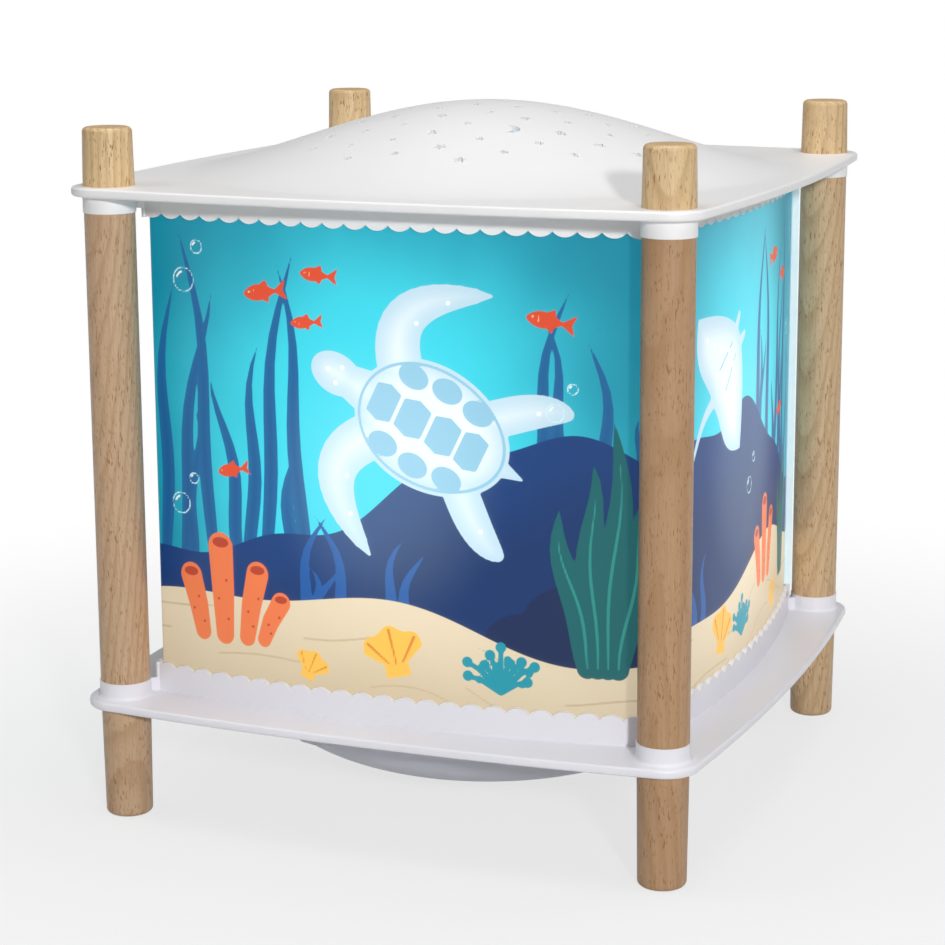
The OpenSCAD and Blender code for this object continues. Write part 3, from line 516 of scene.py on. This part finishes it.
# Display colours of the inks, from the back of the picture to its front
INKS = {
    "far_weed": (24, 104, 158),
    "hill": (14, 62, 124),
    "near_weed": (24, 88, 160),
    "rock": (16, 40, 84),
    "sand": (232, 216, 186),
    "ripple": (206, 184, 150),
    "kelp": (16, 100, 104),
    "kelp_rib": (44, 146, 138),
    "tuft": (26, 150, 168),
    "sponge": (238, 124, 74),
    "sponge_mouth": (184, 66, 42),
    "shell": (248, 194, 84),
    "shell_rib": (222, 138, 52),
    "fish": (226, 78, 42),
    "fish_mark": (250, 214, 170),
    "turtle": (186, 218, 234),
    "plate": (146, 198, 222),
    "spot": (246, 252, 254),
    "bubble": (206, 244, 250),
}
# Inks that change inward: over how many millimetres from their edge, and into which colour. The turtle ink's
# paler middle, on the turtles and the ray, is a painted glow of the lamp behind the film; the hills and the
# sand grow darker inward, towards the bottom.
TONES = {
    "hill": (34, (8, 46, 98)),
    "sand": (34, (206, 188, 156)),
    "far_weed": (3, (16, 84, 140)),
    "turtle": (9, (238, 247, 250)),
}
FAR = 50.0  # distance that stands for no ink near


def oval(x, y, half_length, half_width):
    """About the distance to an oval: how far the scaled radius k is from 1, over the steepness of k."""
    k = np.hypot(x / half_length, y / half_width)
    steep = np.hypot(x / half_length**2, y / half_width**2)
    return k * (k - 1) / np.maximum(steep, 1e-6)


def ribbon(x, y, points, widths):
    """Distance to a line through points whose half width runs evenly from one point to the next."""
    best = np.full(np.shape(x), FAR)
    for (x0, y0), (x1, y1), w0, w1 in zip(points[:-1], points[1:], widths[:-1], widths[1:]):
        dx, dy = x1 - x0, y1 - y0
        along = np.clip(((x - x0) * dx + (y - y0) * dy) / (dx * dx + dy * dy), 0, 1)
        gap = np.hypot(x - x0 - along * dx, y - y0 - along * dy) - (w0 + (w1 - w0) * along)
        best = np.minimum(best, gap)
    return best


def outline(x, y, points):
    """Signed distance to a closed outline: the least distance to its edges, negative where a line
    to the right crosses them an odd number of times."""
    best, inside = np.full(np.shape(x), FAR), np.zeros(np.shape(x), bool)
    for (x0, y0), (x1, y1) in zip(points, np.roll(points, -1, axis=0)):
        dx, dy = x1 - x0, y1 - y0
        along = np.clip(((x - x0) * dx + (y - y0) * dy) / (dx * dx + dy * dy + 1e-9), 0, 1)
        best = np.minimum(best, np.hypot(x - x0 - along * dx, y - y0 - along * dy))
        crosses = ((y0 > y) != (y1 > y)) & (x < x0 + dx * (y - y0) / (dy if abs(dy) > 1e-9 else 1e-9))
        inside ^= crosses
    return np.where(inside, -best, best)


class Artwork:
    """The print of one side: for each ink, a signed distance in millimetres on the grid (x, y).
    x runs along the side from its middle and y is the height above the deck."""

    def __init__(self, x, y):
        self.x, self.y = x, y
        self.ink = {name: np.full(x.shape, FAR) for name in INKS}

    def add(self, name, distance, window=slice(None)):
        """Adds a shape to an ink: the lesser distance holds."""
        self.ink[name][window] = np.minimum(self.ink[name][window], distance)

    def around(self, cx, cy, reach, turn=0.0, size=1.0):
        """The part of the grid within reach of a motif, and its coordinates in the motif's own frame."""
        rows = np.flatnonzero(np.abs(self.x[:, 0] - cx) < reach * size)
        columns = np.flatnonzero(np.abs(self.y[0] - cy) < reach * size)
        window = tuple(slice(k[0], k[-1] + 1) if len(k) else slice(0) for k in (rows, columns))
        x, y = (self.x[window] - cx) / size, (self.y[window] - cy) / size
        c, s = math.cos(math.radians(turn)), math.sin(math.radians(turn))
        return window, x * c + y * s, y * c - x * s

    def put(self, name, window, distance, size=1.0):
        """Adds a shape that was worked out in a motif's own frame."""
        self.add(name, distance * size, window)


def fish(art, cx, cy, size, turn):
    """A small fish: a lens-shaped body, whose half width is a sine of its length, a forked tail and two
    fins."""
    window, x, y = art.around(cx, cy, 14, turn, size)
    t = np.linspace(0, 1, 17)
    back = np.stack([-7 + 12 * t, 2.5 * np.sin(math.pi * t**0.8) + 0.15], 1)
    belly = np.stack([5 - 12 * t, -2.3 * np.sin(math.pi * (1 - t) ** 0.8) - 0.15], 1)
    art.put("fish", window, outline(x, y, np.vstack([back, belly])), size)
    tail = np.array([(3.8, 0), (8.2, 3.1), (7.0, 0), (8.4, -2.9)])
    art.put("fish", window, outline(x, y, tail) - 0.15, size)
    for fin in ([(-2.5, 1.6), (1.4, 3.7), (2.2, 1.2)], [(-1.0, -1.6), (1.6, -3.4), (1.8, -1.0)]):
        art.put("fish", window, outline(x, y, np.array(fin)) - 0.1, size)
    art.put("fish_mark", window, np.hypot(x + 4.9, y - 0.5) - 0.45, size)
    gill = np.abs(np.hypot(x + 5.6, y) - 2.6) - 0.16
    art.put("fish_mark", window, np.maximum(np.maximum(gill, np.abs(y) - 1.1), -x - 5.0), size)


def blade(art, name, rib, cx, cy, height, width, lean, wave, phase):
    """A blade of weed: a ribbon that sways as a sine of its height, widest below its middle and drawn to a
    point."""
    t = np.linspace(0, 1, 13)
    x = cx + lean * t**1.3 + wave * np.sin(2.2 * math.pi * t + phase) * t
    y = cy + height * t
    half = width * np.sin(math.pi * (0.12 + 0.88 * t) ** 0.75) ** 0.8 + 0.05
    window, gx, gy = art.around(cx, cy + height / 2, height / 2 + abs(lean) + 10)
    points = np.stack([x - cx, y - cy - height / 2], 1)
    art.put(name, window, ribbon(gx, gy, points, half))
    if rib:
        art.put(rib, window, ribbon(gx, gy, points[:-2], half[:-2] * 0.10))


def turtle(art, cx, cy, size, turn):
    """A turtle from above: an egg-shaped shell with rows of plates, a plain head, four flippers and a
    tail."""
    window, x, y = art.around(cx, cy, 62, turn, size)
    shell = oval(x, y, 25 - 1.5 * x / 25, 19)
    art.put("turtle", window, shell, size)
    art.put("turtle", window, oval(x - 32, y, 8.6, 6.2), size)
    art.put("turtle", window, ribbon(x, y, [(22, 0), (30, 0)], [6.5, 4.6]), size)
    art.put("turtle", window, ribbon(x, y, [(-24, 0), (-32, 0)], [3.2, 0.4]), size)
    t = np.linspace(0, 1, 15)
    front = np.stack([15 + 12 * np.sin(2.1 * t) - 26 * t**2, 12 + 32 * t], 1)
    rear = np.stack([-17 - 20 * t, 12 + 12 * np.sin(1.5 * t)], 1)
    for side in (-1, 1):
        art.put("turtle", window, ribbon(x, side * y, front, 6.6 * (1 - t**2.2) ** 0.7 + 0.5), size)
        art.put("turtle", window, ribbon(x, side * y, rear, 5.2 * (1 - t**2.6) ** 0.7 + 0.4), size)
    plates = np.full(x.shape, FAR)
    for px, half in ((-15, 4.6), (-5.5, 5.2), (5, 5.4), (15, 4.8)):
        hexagon = np.maximum(np.abs(x - px) - half * 0.86, np.abs(y) - 6.0 + 0.35 * np.abs(x - px))
        plates = np.minimum(plates, hexagon)
    for px, py in ((-12, 11.2), (-1, 12.6), (10, 11.4)):
        plates = np.minimum(plates, oval(x - px, np.abs(y) - py, 5.2, 3.9) + 0.35)
    art.put("plate", window, plates, size)
    art.put("plate", window, np.abs(shell + 1.5) - 0.45, size)
    for px, py in ((31, 2.6), (35, 0), (31, -2.6), (16, 26), (10, 36), (-28, 20)):
        art.put("spot", window, np.hypot(x - px, np.abs(y) - abs(py)) - 0.75, size)


def ray_fish(art, cx, cy, size, turn):
    """A ray from above: wings whose front and back edges are smooth curves, and a long thin tail."""
    window, x, y = art.around(cx, cy, 50, turn, size)
    t = np.linspace(0, 1, 13)
    front = np.stack([16 - 22 * t**1.6, 30 * t], 1)
    back = np.stack([-6 - 9 * np.sin(math.pi * t) * (1 - t) - 8 * t, 30 * (1 - t)], 1)
    half = np.vstack([front, back])
    shape = np.vstack([half, half[::-1] * (1, -1)])
    art.put("turtle", window, outline(x, y, shape) - 0.6, size)
    tail = np.stack([-10 - 38 * t, 2.6 * np.sin(5 * t)], 1)
    art.put("turtle", window, ribbon(x, y, tail, 2.0 * (1 - t) ** 1.5 + 0.4), size)
    for side in (-1, 1):
        art.put("turtle", window, ribbon(x, side * y, [(14, 3), (20, 4.5)], [2.2, 1.2]), size)
    for px, py in ((2, 8), (-2, 14), (-5, 20), (6, 3.5), (-6, 5)):
        art.put("spot", window, np.hypot(x - px, np.abs(y) - py) - 1.0, size)
    line = np.abs(np.abs(y) - 3 - 0.15 * (8 - x)) - 0.35
    art.put("plate", window, np.maximum(line, np.abs(x - 3) - 7), size)


def scallop_shell(art, cx, cy, size, turn):
    """A fan shell: its radius swells at each of nine ribs, and the ribs run out from the hinge."""
    window, x, y = art.around(cx, cy, 14, turn, size)
    angle, radius = np.arctan2(x, y + 6), np.hypot(x, y + 6)
    edge = 13.5 + 0.7 * np.cos(angle * 9 / 0.95) - 1.3 * angle**2
    fan = np.maximum(radius - edge, (np.abs(angle) - 0.95) * radius)
    art.put("shell", window, fan, size)
    art.put("shell", window, np.maximum(np.abs(x) - 3.6, np.abs(y + 5.6) - 1.5) - 0.3, size)
    ribs = np.abs(np.sin(angle * 4.5 / 0.95)) * radius * 0.2 - 0.22 - 0.018 * radius
    art.put("shell_rib", window, np.maximum(np.maximum(ribs, fan + 0.9), 2.2 - radius), size)


def tube_sponge(art, cx, cy, tubes):
    """A clump of tubes that lean apart, each a little wider at its open top."""
    for dx, height, width, lean in tubes:
        window, x, y = art.around(cx + dx, cy + height / 2, height / 2 + 12)
        points = [(0, -height / 2), (lean * 0.4, 0), (lean, height / 2)]
        art.put("sponge", window, ribbon(x, y, points, [width * 0.72, width * 0.9, width]))
        mouth = oval(x - lean, y - height / 2 - width * 0.3, width * 0.66, width * 0.36)
        art.put("sponge_mouth", window, mouth)
        for k in range(3):
            across = x - lean * (0.2 + 0.25 * k) - (-1) ** k * width * 0.35
            art.put("sponge_mouth", window, np.hypot(across, y + height * (0.32 - 0.22 * k)) - 0.5)


def tuft(art, cx, cy, size):
    """A low round plant: short stalks that fan out, each with a bead at its end."""
    window, x, y = art.around(cx, cy, 18 * size)
    for k in range(9):
        angle = math.radians(-72 + 18 * k)
        reach = (11 + 2.5 * math.sin(k * 2.1)) * size
        tip = (reach * math.sin(angle), reach * math.cos(angle))
        stalk = [(0, -1), (tip[0] * 0.6, tip[1] * 0.7), tip]
        art.put("tuft", window, ribbon(x, y, stalk, [1.0, 0.8, 0.7]))
        art.put("tuft", window, np.hypot(x - tip[0], y - tip[1]) - 1.7 * size)
        side = (tip[0] * 0.72 + 2.2 * math.cos(angle) * size, tip[1] * 0.72)
        art.put("tuft", window, np.hypot(x - side[0], y - side[1]) - 1.2 * size)


def bubble(art, cx, cy, radius):
    """A bubble: a thin ring with a short bright arc inside."""
    window, x, y = art.around(cx, cy, radius + 3)
    ring = np.hypot(x, y)
    art.put("bubble", window, np.abs(ring - radius) - 0.22)
    near_light = np.hypot(x + radius * 0.5, y - radius * 0.5) - radius * 0.42
    art.put("spot", window, np.maximum(np.abs(ring - radius * 0.66) - 0.3, near_light))


ROUND = 4 * 157.9  # way round the sleeve in millimetres


def hill_line(way):
    """Height of the far hills along the way round: a sum of whole waves, so that it meets itself."""
    turn = 2 * math.pi * way / ROUND
    ridges = 17 * np.sin(2 * turn + 0.5) + 7 * np.sin(5 * turn - 0.4) + 2.5 * np.sin(13 * turn)
    return 62 + ridges + 26 * np.sin(turn) ** 3


def sand_line(way):
    """Height of the sand along the way round."""
    turn = 2 * math.pi * way / ROUND
    return 30 + 7 * np.sin(3 * turn + 2.3) + 3 * np.sin(7 * turn + 1.0)


def ground(art, side):
    """Hills, sand and the ripples on the sand."""
    way = side * ROUND / 4 + art.x
    drop = sand_line(way) - art.y
    art.add("hill", art.y - hill_line(way))
    art.add("sand", -drop)
    pitch = 7.5
    wavy = drop + 1.6 * np.sin(way / 9.0)
    ripple = np.abs(wavy % pitch - pitch / 2) - 0.35
    broken = np.sin(way / 13.0 + np.floor(wavy / pitch) * 2.3) - 0.25
    art.add("ripple", np.maximum(np.maximum(ripple, -broken * 4), 4 - drop))


def far_weeds(art, name, start, count, gap, foot, height, width, seed):
    """A stand of tall weed: each blade's height, lean and sway follow sines of its number."""
    for k in range(count):
        across = start + gap * k + 2 * math.sin(k * 1.9 + seed)
        tall = height * (0.72 + 0.28 * math.sin(k * 2.4 + seed))
        blade(art, name, None, across, foot, tall, width, 9 * math.sin(k * 1.3 + seed), 3.2, k * 1.1)


def kelp(art, cx, foot, heights, width, spread):
    """A clump of green weed whose blades lean apart, each with a paler rib."""
    for k, height in enumerate(heights):
        offset = k - (len(heights) - 1) / 2
        blade(art, "kelp", "kelp_rib", cx + offset * 3, foot, height, width, offset * spread, 2.4, k * 1.7)


def shoal(art, *places):
    """Fish, each at its place with its size and turn."""
    for place in places:
        fish(art, *place)


def bubbles(art, *places):
    """Bubbles, each at its place with its radius."""
    for place in places:
        bubble(art, *place)


def rocks(art, *places):
    """Rounded rocks, each at its place with its half length and half height."""
    for cx, cy, half_length, half_height in places:
        art.add("rock", oval(art.x - cx, art.y - cy, half_length, half_height))


def draw_front(art):
    """The front: one large turtle over hills, with tall weed at both sides."""
    far_weeds(art, "far_weed", -76, 9, 6.4, 40, 104, 2.3, 0.4)
    far_weeds(art, "far_weed", 44, 5, 7.0, 60, 72, 2.0, 2.0)
    far_weeds(art, "near_weed", -30, 7, 6.0, 18, 44, 1.9, 1.1)
    rocks(art, (62, 34, 20, 13), (44, 28, 13, 9), (75, 26, 14, 16))
    kelp(art, 66, 22, (46, 60, 72, 52), 4.6, 6.5)
    tube_sponge(art, -54, 21, ((-8, 17, 3.9, -4), (0, 27, 4.4, -1), (8, 20, 3.8, 4), (14, 12, 3.2, 6)))
    scallop_shell(art, 3, 22, 1.0, 14)
    scallop_shell(art, -24, 15, 0.6, -24)
    tuft(art, 36, 14, 0.95)
    turtle(art, 14, 90, 0.98, 154)
    shoal(art, (-38, 126, 0.95, 8), (-20, 132, 0.8, -4), (-24, 118, 0.7, 6), (50, 122, 0.95, -10))
    shoal(art, (-50, 72, 0.75, 12))
    bubbles(art, (-66, 128, 3.6), (-61, 138, 2.0), (52, 96, 2.6), (57, 103, 1.5))
    bubbles(art, (-69, 60, 3.2), (-64, 68, 1.6))


def draw_right(art):
    """The right side: a ray over high hills."""
    far_weeds(art, "far_weed", 8, 10, 6.6, 46, 96, 2.2, 1.2)
    far_weeds(art, "near_weed", -70, 6, 6.0, 16, 50, 1.9, 0.3)
    rocks(art, (20, 30, 18, 11), (34, 26, 12, 8))
    kelp(art, -58, 20, (40, 54, 44), 4.0, 6.5)
    kelp(art, 60, 20, (34, 44, 36), 3.6, 6.0)
    tube_sponge(art, 26, 26, ((-7, 15, 3.4, -4), (0, 23, 3.8, 0), (7, 17, 3.4, 4)))
    scallop_shell(art, -22, 20, 0.95, -12)
    scallop_shell(art, 42, 15, 0.6, 20)
    tuft(art, -2, 15, 0.8)
    ray_fish(art, -22, 100, 0.95, 40)
    shoal(art, (34, 128, 0.9, 186), (52, 120, 0.75, 178), (-60, 84, 0.8, 170), (50, 76, 0.7, 190))
    bubbles(art, (-64, 132, 3.0), (4, 60, 2.6), (9, 68, 1.5), (66, 100, 2.4))


def draw_back(art):
    """The back: a shoal of fish in rows."""
    far_weeds(art, "far_weed", -72, 7, 6.6, 44, 92, 2.2, 0.9)
    far_weeds(art, "far_weed", 30, 7, 6.6, 46, 84, 2.2, 2.2)
    far_weeds(art, "near_weed", -14, 7, 6.0, 16, 46, 1.9, 0.6)
    rocks(art, (-56, 32, 20, 12), (-38, 26, 12, 8))
    kelp(art, -64, 22, (44, 60, 50), 4.4, 6.5)
    tube_sponge(art, 56, 22, ((-7, 15, 3.6, -4), (0, 24, 4.0, 0), (8, 18, 3.6, 5)))
    scallop_shell(art, 22, 19, 1.0, 10)
    tuft(art, -12, 15, 0.9)
    for k in range(9):
        row, place = divmod(k, 4)
        cx = -34 + 17 * place + 6 * row
        fish(art, cx, 84 + 15 * row + 5 * math.sin(k * 1.9), 0.9, 4 * math.sin(k))
    bubbles(art, (-62, 124, 3.2), (58, 112, 2.8), (63, 121, 1.6), (6, 60, 2.4))


def draw_left(art):
    """The left side: a small turtle over a wide stand of weed."""
    far_weeds(art, "far_weed", -20, 11, 6.6, 44, 88, 2.2, 2.9)
    far_weeds(art, "near_weed", 30, 7, 6.0, 16, 46, 1.9, 1.6)
    rocks(art, (-20, 28, 18, 11))
    kelp(art, 64, 20, (44, 58, 46), 4.2, 6.5)
    kelp(art, -66, 20, (36, 48, 40), 3.8, 6.0)
    tube_sponge(art, -16, 26, ((-7, 15, 3.4, -4), (0, 22, 3.8, 0), (7, 16, 3.4, 4)))
    scallop_shell(art, 30, 19, 1.0, -10)
    scallop_shell(art, 52, 14, 0.6, 20)
    turtle(art, -22, 96, 0.62, 28)
    shoal(art, (38, 124, 0.95, 6), (54, 114, 0.75, 0), (30, 110, 0.7, 8), (-58, 66, 0.75, -6))
    bubbles(art, (60, 134, 3.0), (10, 62, 2.4), (-50, 130, 2.6))


FILM = 0.5 * MM  # thickness of the film
EDGE_BLUR = 0.14  # half width in millimetres of the soft edge of an ink
DRAWINGS = {"front": draw_front, "right": draw_right, "back": draw_back, "left": draw_left}


def glow_over(x, y, height):
    """Light behind the print: 1 near the middle, falling as a bell along the side and up and down."""
    return np.exp(-((x / 66) ** 2)) * np.exp(-(((y - height * 0.48) / (height * 0.52)) ** 2))


def sleeve_finish(name, printing):
    """The lit print: each ink covers the water where its distance is below zero. The light behind it falls
    off from the middle of a side towards its corners."""
    finish = Finish(name)

    def layer(attribute):
        """An ink's distance, or the glow, as the film's points hold it."""
        return finish.node("ShaderNodeAttribute", {"attribute_name": attribute}, out="Fac")

    glow = layer("glow")
    where = finish.place()
    drift = finish.noise(where, 26.0)
    lit_water = (glow * 1.15 + (drift - 0.5) * 0.35).step(0.1, 0.9)
    picture = finish.mix(lit_water, tuple(printing.water_deep), tuple(printing.water))
    for ink, colour in INKS.items():
        cover = layer(ink).step(-EDGE_BLUR, EDGE_BLUR, 1.0, 0.0)
        shade = rgb(*colour)
        if ink in TONES:
            # For the turtle ink this inward tone is a painted glow of the lamp behind the film.
            depth, inner = TONES[ink]
            tone = layer(ink).step(-depth, 0.0) * 0.7 + drift * 0.3
            shade = finish.mix(tone, rgb(*inner), shade)
        picture = finish.mix(cover, picture, shade)
    picture = finish.mix(glow.step(0.7, 1.0) * 0.07, picture, rgb(226, 250, 255))
    ripple = finish.noise(where, 40.0, 1.0)
    return finish.surface(
        base_color=finish.scaled(picture, 0.35), roughness=0.28 + drift * 0.1,
        emission_color=finish.scaled(picture, 0.72 + glow * 0.5), emission_strength=printing.glow,
        alpha=0.9, normal=finish.bump(ripple, 0.4 * MM, 0.1), specular_ior_level=0.3,
    )


def clear_strip(name):
    """The clear strip that joins the film's ends, faintly lit through."""
    finish = Finish(name)
    frost = finish.noise(finish.place(), 300.0)
    return finish.surface(
        base_color=finish.mix(frost, rgb(226, 240, 244), rgb(206, 228, 236)), roughness=0.25 + frost * 0.1,
        emission_color=rgba(rgb(196, 226, 232)), emission_strength=0.25,
    )


def bowed_wall(corner, middle, low, high, cell):
    """The film's front side as a closed shell. Its outer face is a part of an upright cylinder: at the angle
    a from the side's middle, x = R sin a and y = c - R cos a, where R and c follow from the corner and the
    bulge. The inner face lies one film thickness inside, and both end in the plane of the corner. Returns
    the points, the outer and the other faces, and the outer points' way along and height in millimetres."""
    bulge = middle - corner
    radius = (corner * corner + bulge * bulge) / (2 * bulge)
    centre = radius - middle
    inner = radius - FILM
    inner_corner = (math.sqrt(2 * inner * inner - centre * centre) - centre) / 2
    across, rows = round(2 * corner / cell), round((high - low) / cell)
    share = np.linspace(-1, 1, across + 1)

    def face(reach, end, levels):
        """Points of one face, column by column, with the angle and the height of each."""
        turn, level = np.meshgrid(share * end, levels, indexing="ij")
        grid = np.stack([reach * np.sin(turn), centre - reach * np.cos(turn), level], -1)
        return grid.reshape(-1, 3), turn, level

    outer, turn, level = face(radius, math.asin(corner / radius), np.linspace(low, high, rows + 1))
    inside = face(inner, math.asin(inner_corner / inner), [low, high])[0]
    column = np.arange(across)
    foot, inner_foot = column * (rows + 1), len(outer) + column * 2
    head, inner_head = foot + rows, inner_foot + 1
    first = foot[:, None] + np.arange(rows)
    quads = np.stack([first, first + rows + 1, first + rows + 2, first + 1], -1).reshape(-1, 4)
    back = np.stack([inner_foot, inner_head, inner_head + 2, inner_foot + 2], -1)
    bottom = np.stack([foot, inner_foot, inner_foot + 2, foot + rows + 1], -1)
    top = np.stack([head, head + rows + 1, inner_head + 2, inner_head], -1)
    count = len(outer) + len(inside)
    left = [len(outer) + 1, len(outer), *range(rows + 1)]
    right = [count - 2, count - 1, *range(len(outer) - 1, len(outer) - rows - 2, -1)]
    others = np.vstack([back, bottom, top]).tolist() + [left, right]
    return np.vstack([outer, inside]), quads.tolist(), others, turn * radius / MM, (level - low) / MM


def sleeve_side(name, side, wall, draw):
    """One side of the film: the wall, turned to its place, holds its print as one attribute for each ink."""
    points, quads, others, along, up = wall
    turn = side * math.pi / 2
    spin = np.array([[math.cos(turn), math.sin(turn), 0], [-math.sin(turn), math.cos(turn), 0], [0, 0, 1]])
    mesh = bpy.data.meshes.new(name)
    mesh.from_pydata(points @ spin, [], quads + others)
    mesh.polygons.foreach_set("material_index", [0] * len(quads) + [1] * len(others))
    mesh.polygons.foreach_set("use_smooth", [True] * len(quads) + [False] * len(others))
    art = Artwork(along, up)
    ground(art, side)
    draw(art)
    unprinted = np.full(len(points) - along.size, FAR)
    for ink, values in {**art.ink, "glow": glow_over(along, up, up.max())}.items():
        data = mesh.attributes.new(ink, "FLOAT", "POINT").data
        data.foreach_set("value", np.append(values, unprinted).astype(np.float32))
    mesh.update()
    piece = bpy.data.objects.new(name, mesh)
    bpy.context.scene.collection.objects.link(piece)
    return piece


class LANTERN_OT_sleeve(Operator):
    """Makes the four printed sides of the film sleeve and gives the clear strip that joins its ends its
    finish
    """

    bl_idname = "lantern.sleeve"
    bl_label = "Printed sleeve"

    def execute(self, context):
        printing = context.scene.lantern_print
        film = bpy.data.objects["film_sleeve"]
        low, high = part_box("film_sleeve")
        corner = max((film.matrix_world @ v.co).xy.dot((0.5, 0.5)) for v in film.data.vertices)
        wall = bowed_wall(corner, high[0], low[2], high[2], printing.cell)
        material = sleeve_finish("lit_print", printing)
        inside = moulded("film_inside", rgb(236, 240, 242), 0.5, 0.1)
        for side, (word, draw) in enumerate(DRAWINGS.items()):
            piece = sleeve_side(f"sleeve_{word}", side, wall, draw)
            piece.data.materials.append(material)
            piece.data.materials.append(inside)
            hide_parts("film_sleeve")
            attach(piece, "root")
        wear(clear_strip("clear_strip"), "sleeve_seam_strip")
        return {"FINISHED"}


# ------------ stage


WHITE = (1, 1, 1, 1)
LIT_POINT = Vector((0, 0, 0.1))  # where the lights are aimed
FLOOR_REACH = 6.0  # half the floor's width
SENSOR_WIDTH = 36  # in millimetres
SHIFT = (-0.0174, -0.0215)  # how far the picture is moved over the sensor, as a part of its width
CLIP = (0.01, 50)  # nearest and farthest distance that the camera shows


def area_light(name, place, size, power):
    """A round white light that shines at the middle of the lantern."""
    light = bpy.data.lights.new(name, "AREA")
    light.shape, light.size, light.energy = "DISK", size, power
    lamp = bpy.data.objects.new(name, light)
    lamp.location = place
    lamp.rotation_mode = "QUATERNION"
    lamp.rotation_quaternion = (LIT_POINT - Vector(place)).to_track_quat("-Z", "Y")
    bpy.context.scene.collection.objects.link(lamp)


class LANTERN_OT_stage(Operator):
    """Makes the pale floor, the soft lights and the camera"""

    bl_idname = "lantern.stage"
    bl_label = "Stage"

    def execute(self, context):
        stage, scene = context.scene.lantern_stage, context.scene
        scene.view_settings.view_transform = "Standard"
        self.floor(stage)
        self.sky(scene, stage)
        area_light("key_light", (0.80, -1.25, 0.58), 0.12, stage.key_power)
        area_light("fill_light", (-1.0, -0.5, 1.6), 0.9, stage.fill_power)
        area_light("top_light", (0.15, -0.1, 1.6), 1.0, stage.top_power)
        area_light("back_light", (1.0, 1.1, 0.8), 0.8, stage.back_power)
        self.camera(scene, stage)
        return {"FINISHED"}

    def floor(self, stage):
        """A plain floor that keeps the shadow near the lantern and runs out into white."""
        mesh = bpy.data.meshes.new("floor")
        corners = [(x * FLOOR_REACH, y * FLOOR_REACH, 0) for x, y in ((-1, -1), (1, -1), (1, 1), (-1, 1))]
        mesh.from_pydata(corners, [], [(0, 1, 2, 3)])
        floor = bpy.data.objects.new("floor", mesh)
        bpy.context.scene.collection.objects.link(floor)
        finish = Finish("floor")
        where = finish.node("ShaderNodeTexCoord", out="Object")
        away = finish.node("ShaderNodeVectorMath", {"operation": "LENGTH"}, {0: where}, out="Value")
        seen = finish.node("ShaderNodeLightPath")
        mirrored, through = seen.output("Is Glossy Ray"), seen.output("Is Transmission Ray")
        shown = seen.greater(mirrored).greater(through)
        white = finish.node("ShaderNodeEmission", {}, {"Color": WHITE, "Strength": 1.0})
        matt = finish.node("ShaderNodeBsdfDiffuse", {}, {"Color": rgba(stage.floor_colour)})
        share = shown * (0.72 + away.step(0.12, 0.4) * 0.28)
        both = finish.node("ShaderNodeMixShader", {}, {0: share, 1: matt, 2: white})
        mesh.materials.append(finish.end(both))

    def sky(self, scene, stage):
        """Even white light from all round, and plain white where the camera looks past the floor."""
        world = bpy.data.worlds.new("studio")
        scene.world = world
        world.use_nodes = True
        tree = world.node_tree
        tree.nodes.clear()
        path = tree.nodes.new("ShaderNodeLightPath")
        mix, output = tree.nodes.new("ShaderNodeMixShader"), tree.nodes.new("ShaderNodeOutputWorld")
        tree.links.new(path.outputs["Is Camera Ray"], mix.inputs[0])
        for number, strength in ((1, stage.sky), (2, 1.0)):
            background = tree.nodes.new("ShaderNodeBackground")
            background.inputs["Color"].default_value = WHITE
            background.inputs["Strength"].default_value = strength
            tree.links.new(background.outputs[0], mix.inputs[number])
        tree.links.new(mix.outputs[0], output.inputs["Surface"])

    def camera(self, scene, stage):
        """The photograph's view: the camera looks at the lantern's middle axis from a point on a sphere."""
        data = bpy.data.cameras.new("camera")
        data.lens, data.sensor_width = stage.lens, SENSOR_WIDTH
        data.shift_x, data.shift_y = SHIFT
        data.clip_start, data.clip_end = CLIP
        camera = bpy.data.objects.new("camera", data)
        turn, rise = stage.azimuth, stage.elevation
        back = Vector((math.sin(turn) * math.cos(rise), -math.cos(turn) * math.cos(rise), math.sin(rise)))
        camera.location = Vector((0, 0, stage.aim_height)) + back * stage.distance
        camera.rotation_mode = "QUATERNION"
        look = (-back).to_track_quat("-Z", "Y")
        camera.rotation_quaternion = look @ Quaternion((0, 0, 1), stage.roll)
        scene.collection.objects.link(camera)
        scene.camera = camera


# ------------ panel and registration

OPERATORS = (
    LANTERN_OT_stage,
    LANTERN_OT_wood,
    LANTERN_OT_plates,
    LANTERN_OT_pan,
    LANTERN_OT_sleeve,
    LANTERN_OT_drum,
    LANTERN_OT_lamp,
    LANTERN_OT_electrics,
)
SETTINGS = {
    "lantern_wood": WoodSettings,
    "lantern_plastic": PlasticSettings,
    "lantern_print": PrintSettings,
    "lantern_lamp": LampSettings,
    "lantern_stage": StageSettings,
}


class LANTERN_PT_panel(Panel):
    """Lists the steps that dress the lantern, and their settings"""

    bl_idname = "LANTERN_PT_panel"
    bl_label = "Lantern"
    bl_space_type = "VIEW_3D"
    bl_region_type = "UI"
    bl_category = "Lantern"

    def draw(self, context):
        for operator in OPERATORS:
            self.layout.operator(operator.bl_idname)
        for group, kind in SETTINGS.items():
            box = self.layout.box()
            for key in kind.__annotations__:
                box.prop(getattr(context.scene, group), key)


def register():
    for kind in (*SETTINGS.values(), *OPERATORS, LANTERN_PT_panel):
        bpy.utils.register_class(kind)
    for group, kind in SETTINGS.items():
        setattr(bpy.types.Scene, group, PointerProperty(type=kind))


def unregister():
    for group in SETTINGS:
        delattr(bpy.types.Scene, group)
    for kind in reversed((*SETTINGS.values(), *OPERATORS, LANTERN_PT_panel)):
        bpy.utils.unregister_class(kind)


def main():
    register()
    bpy.ops.lantern.stage()
    bpy.ops.lantern.wood()
    bpy.ops.lantern.plates()
    bpy.ops.lantern.pan()
    bpy.ops.lantern.sleeve()
    bpy.ops.lantern.drum()
    bpy.ops.lantern.lamp()
    bpy.ops.lantern.electrics()


if __name__ == "__main__":
    main()
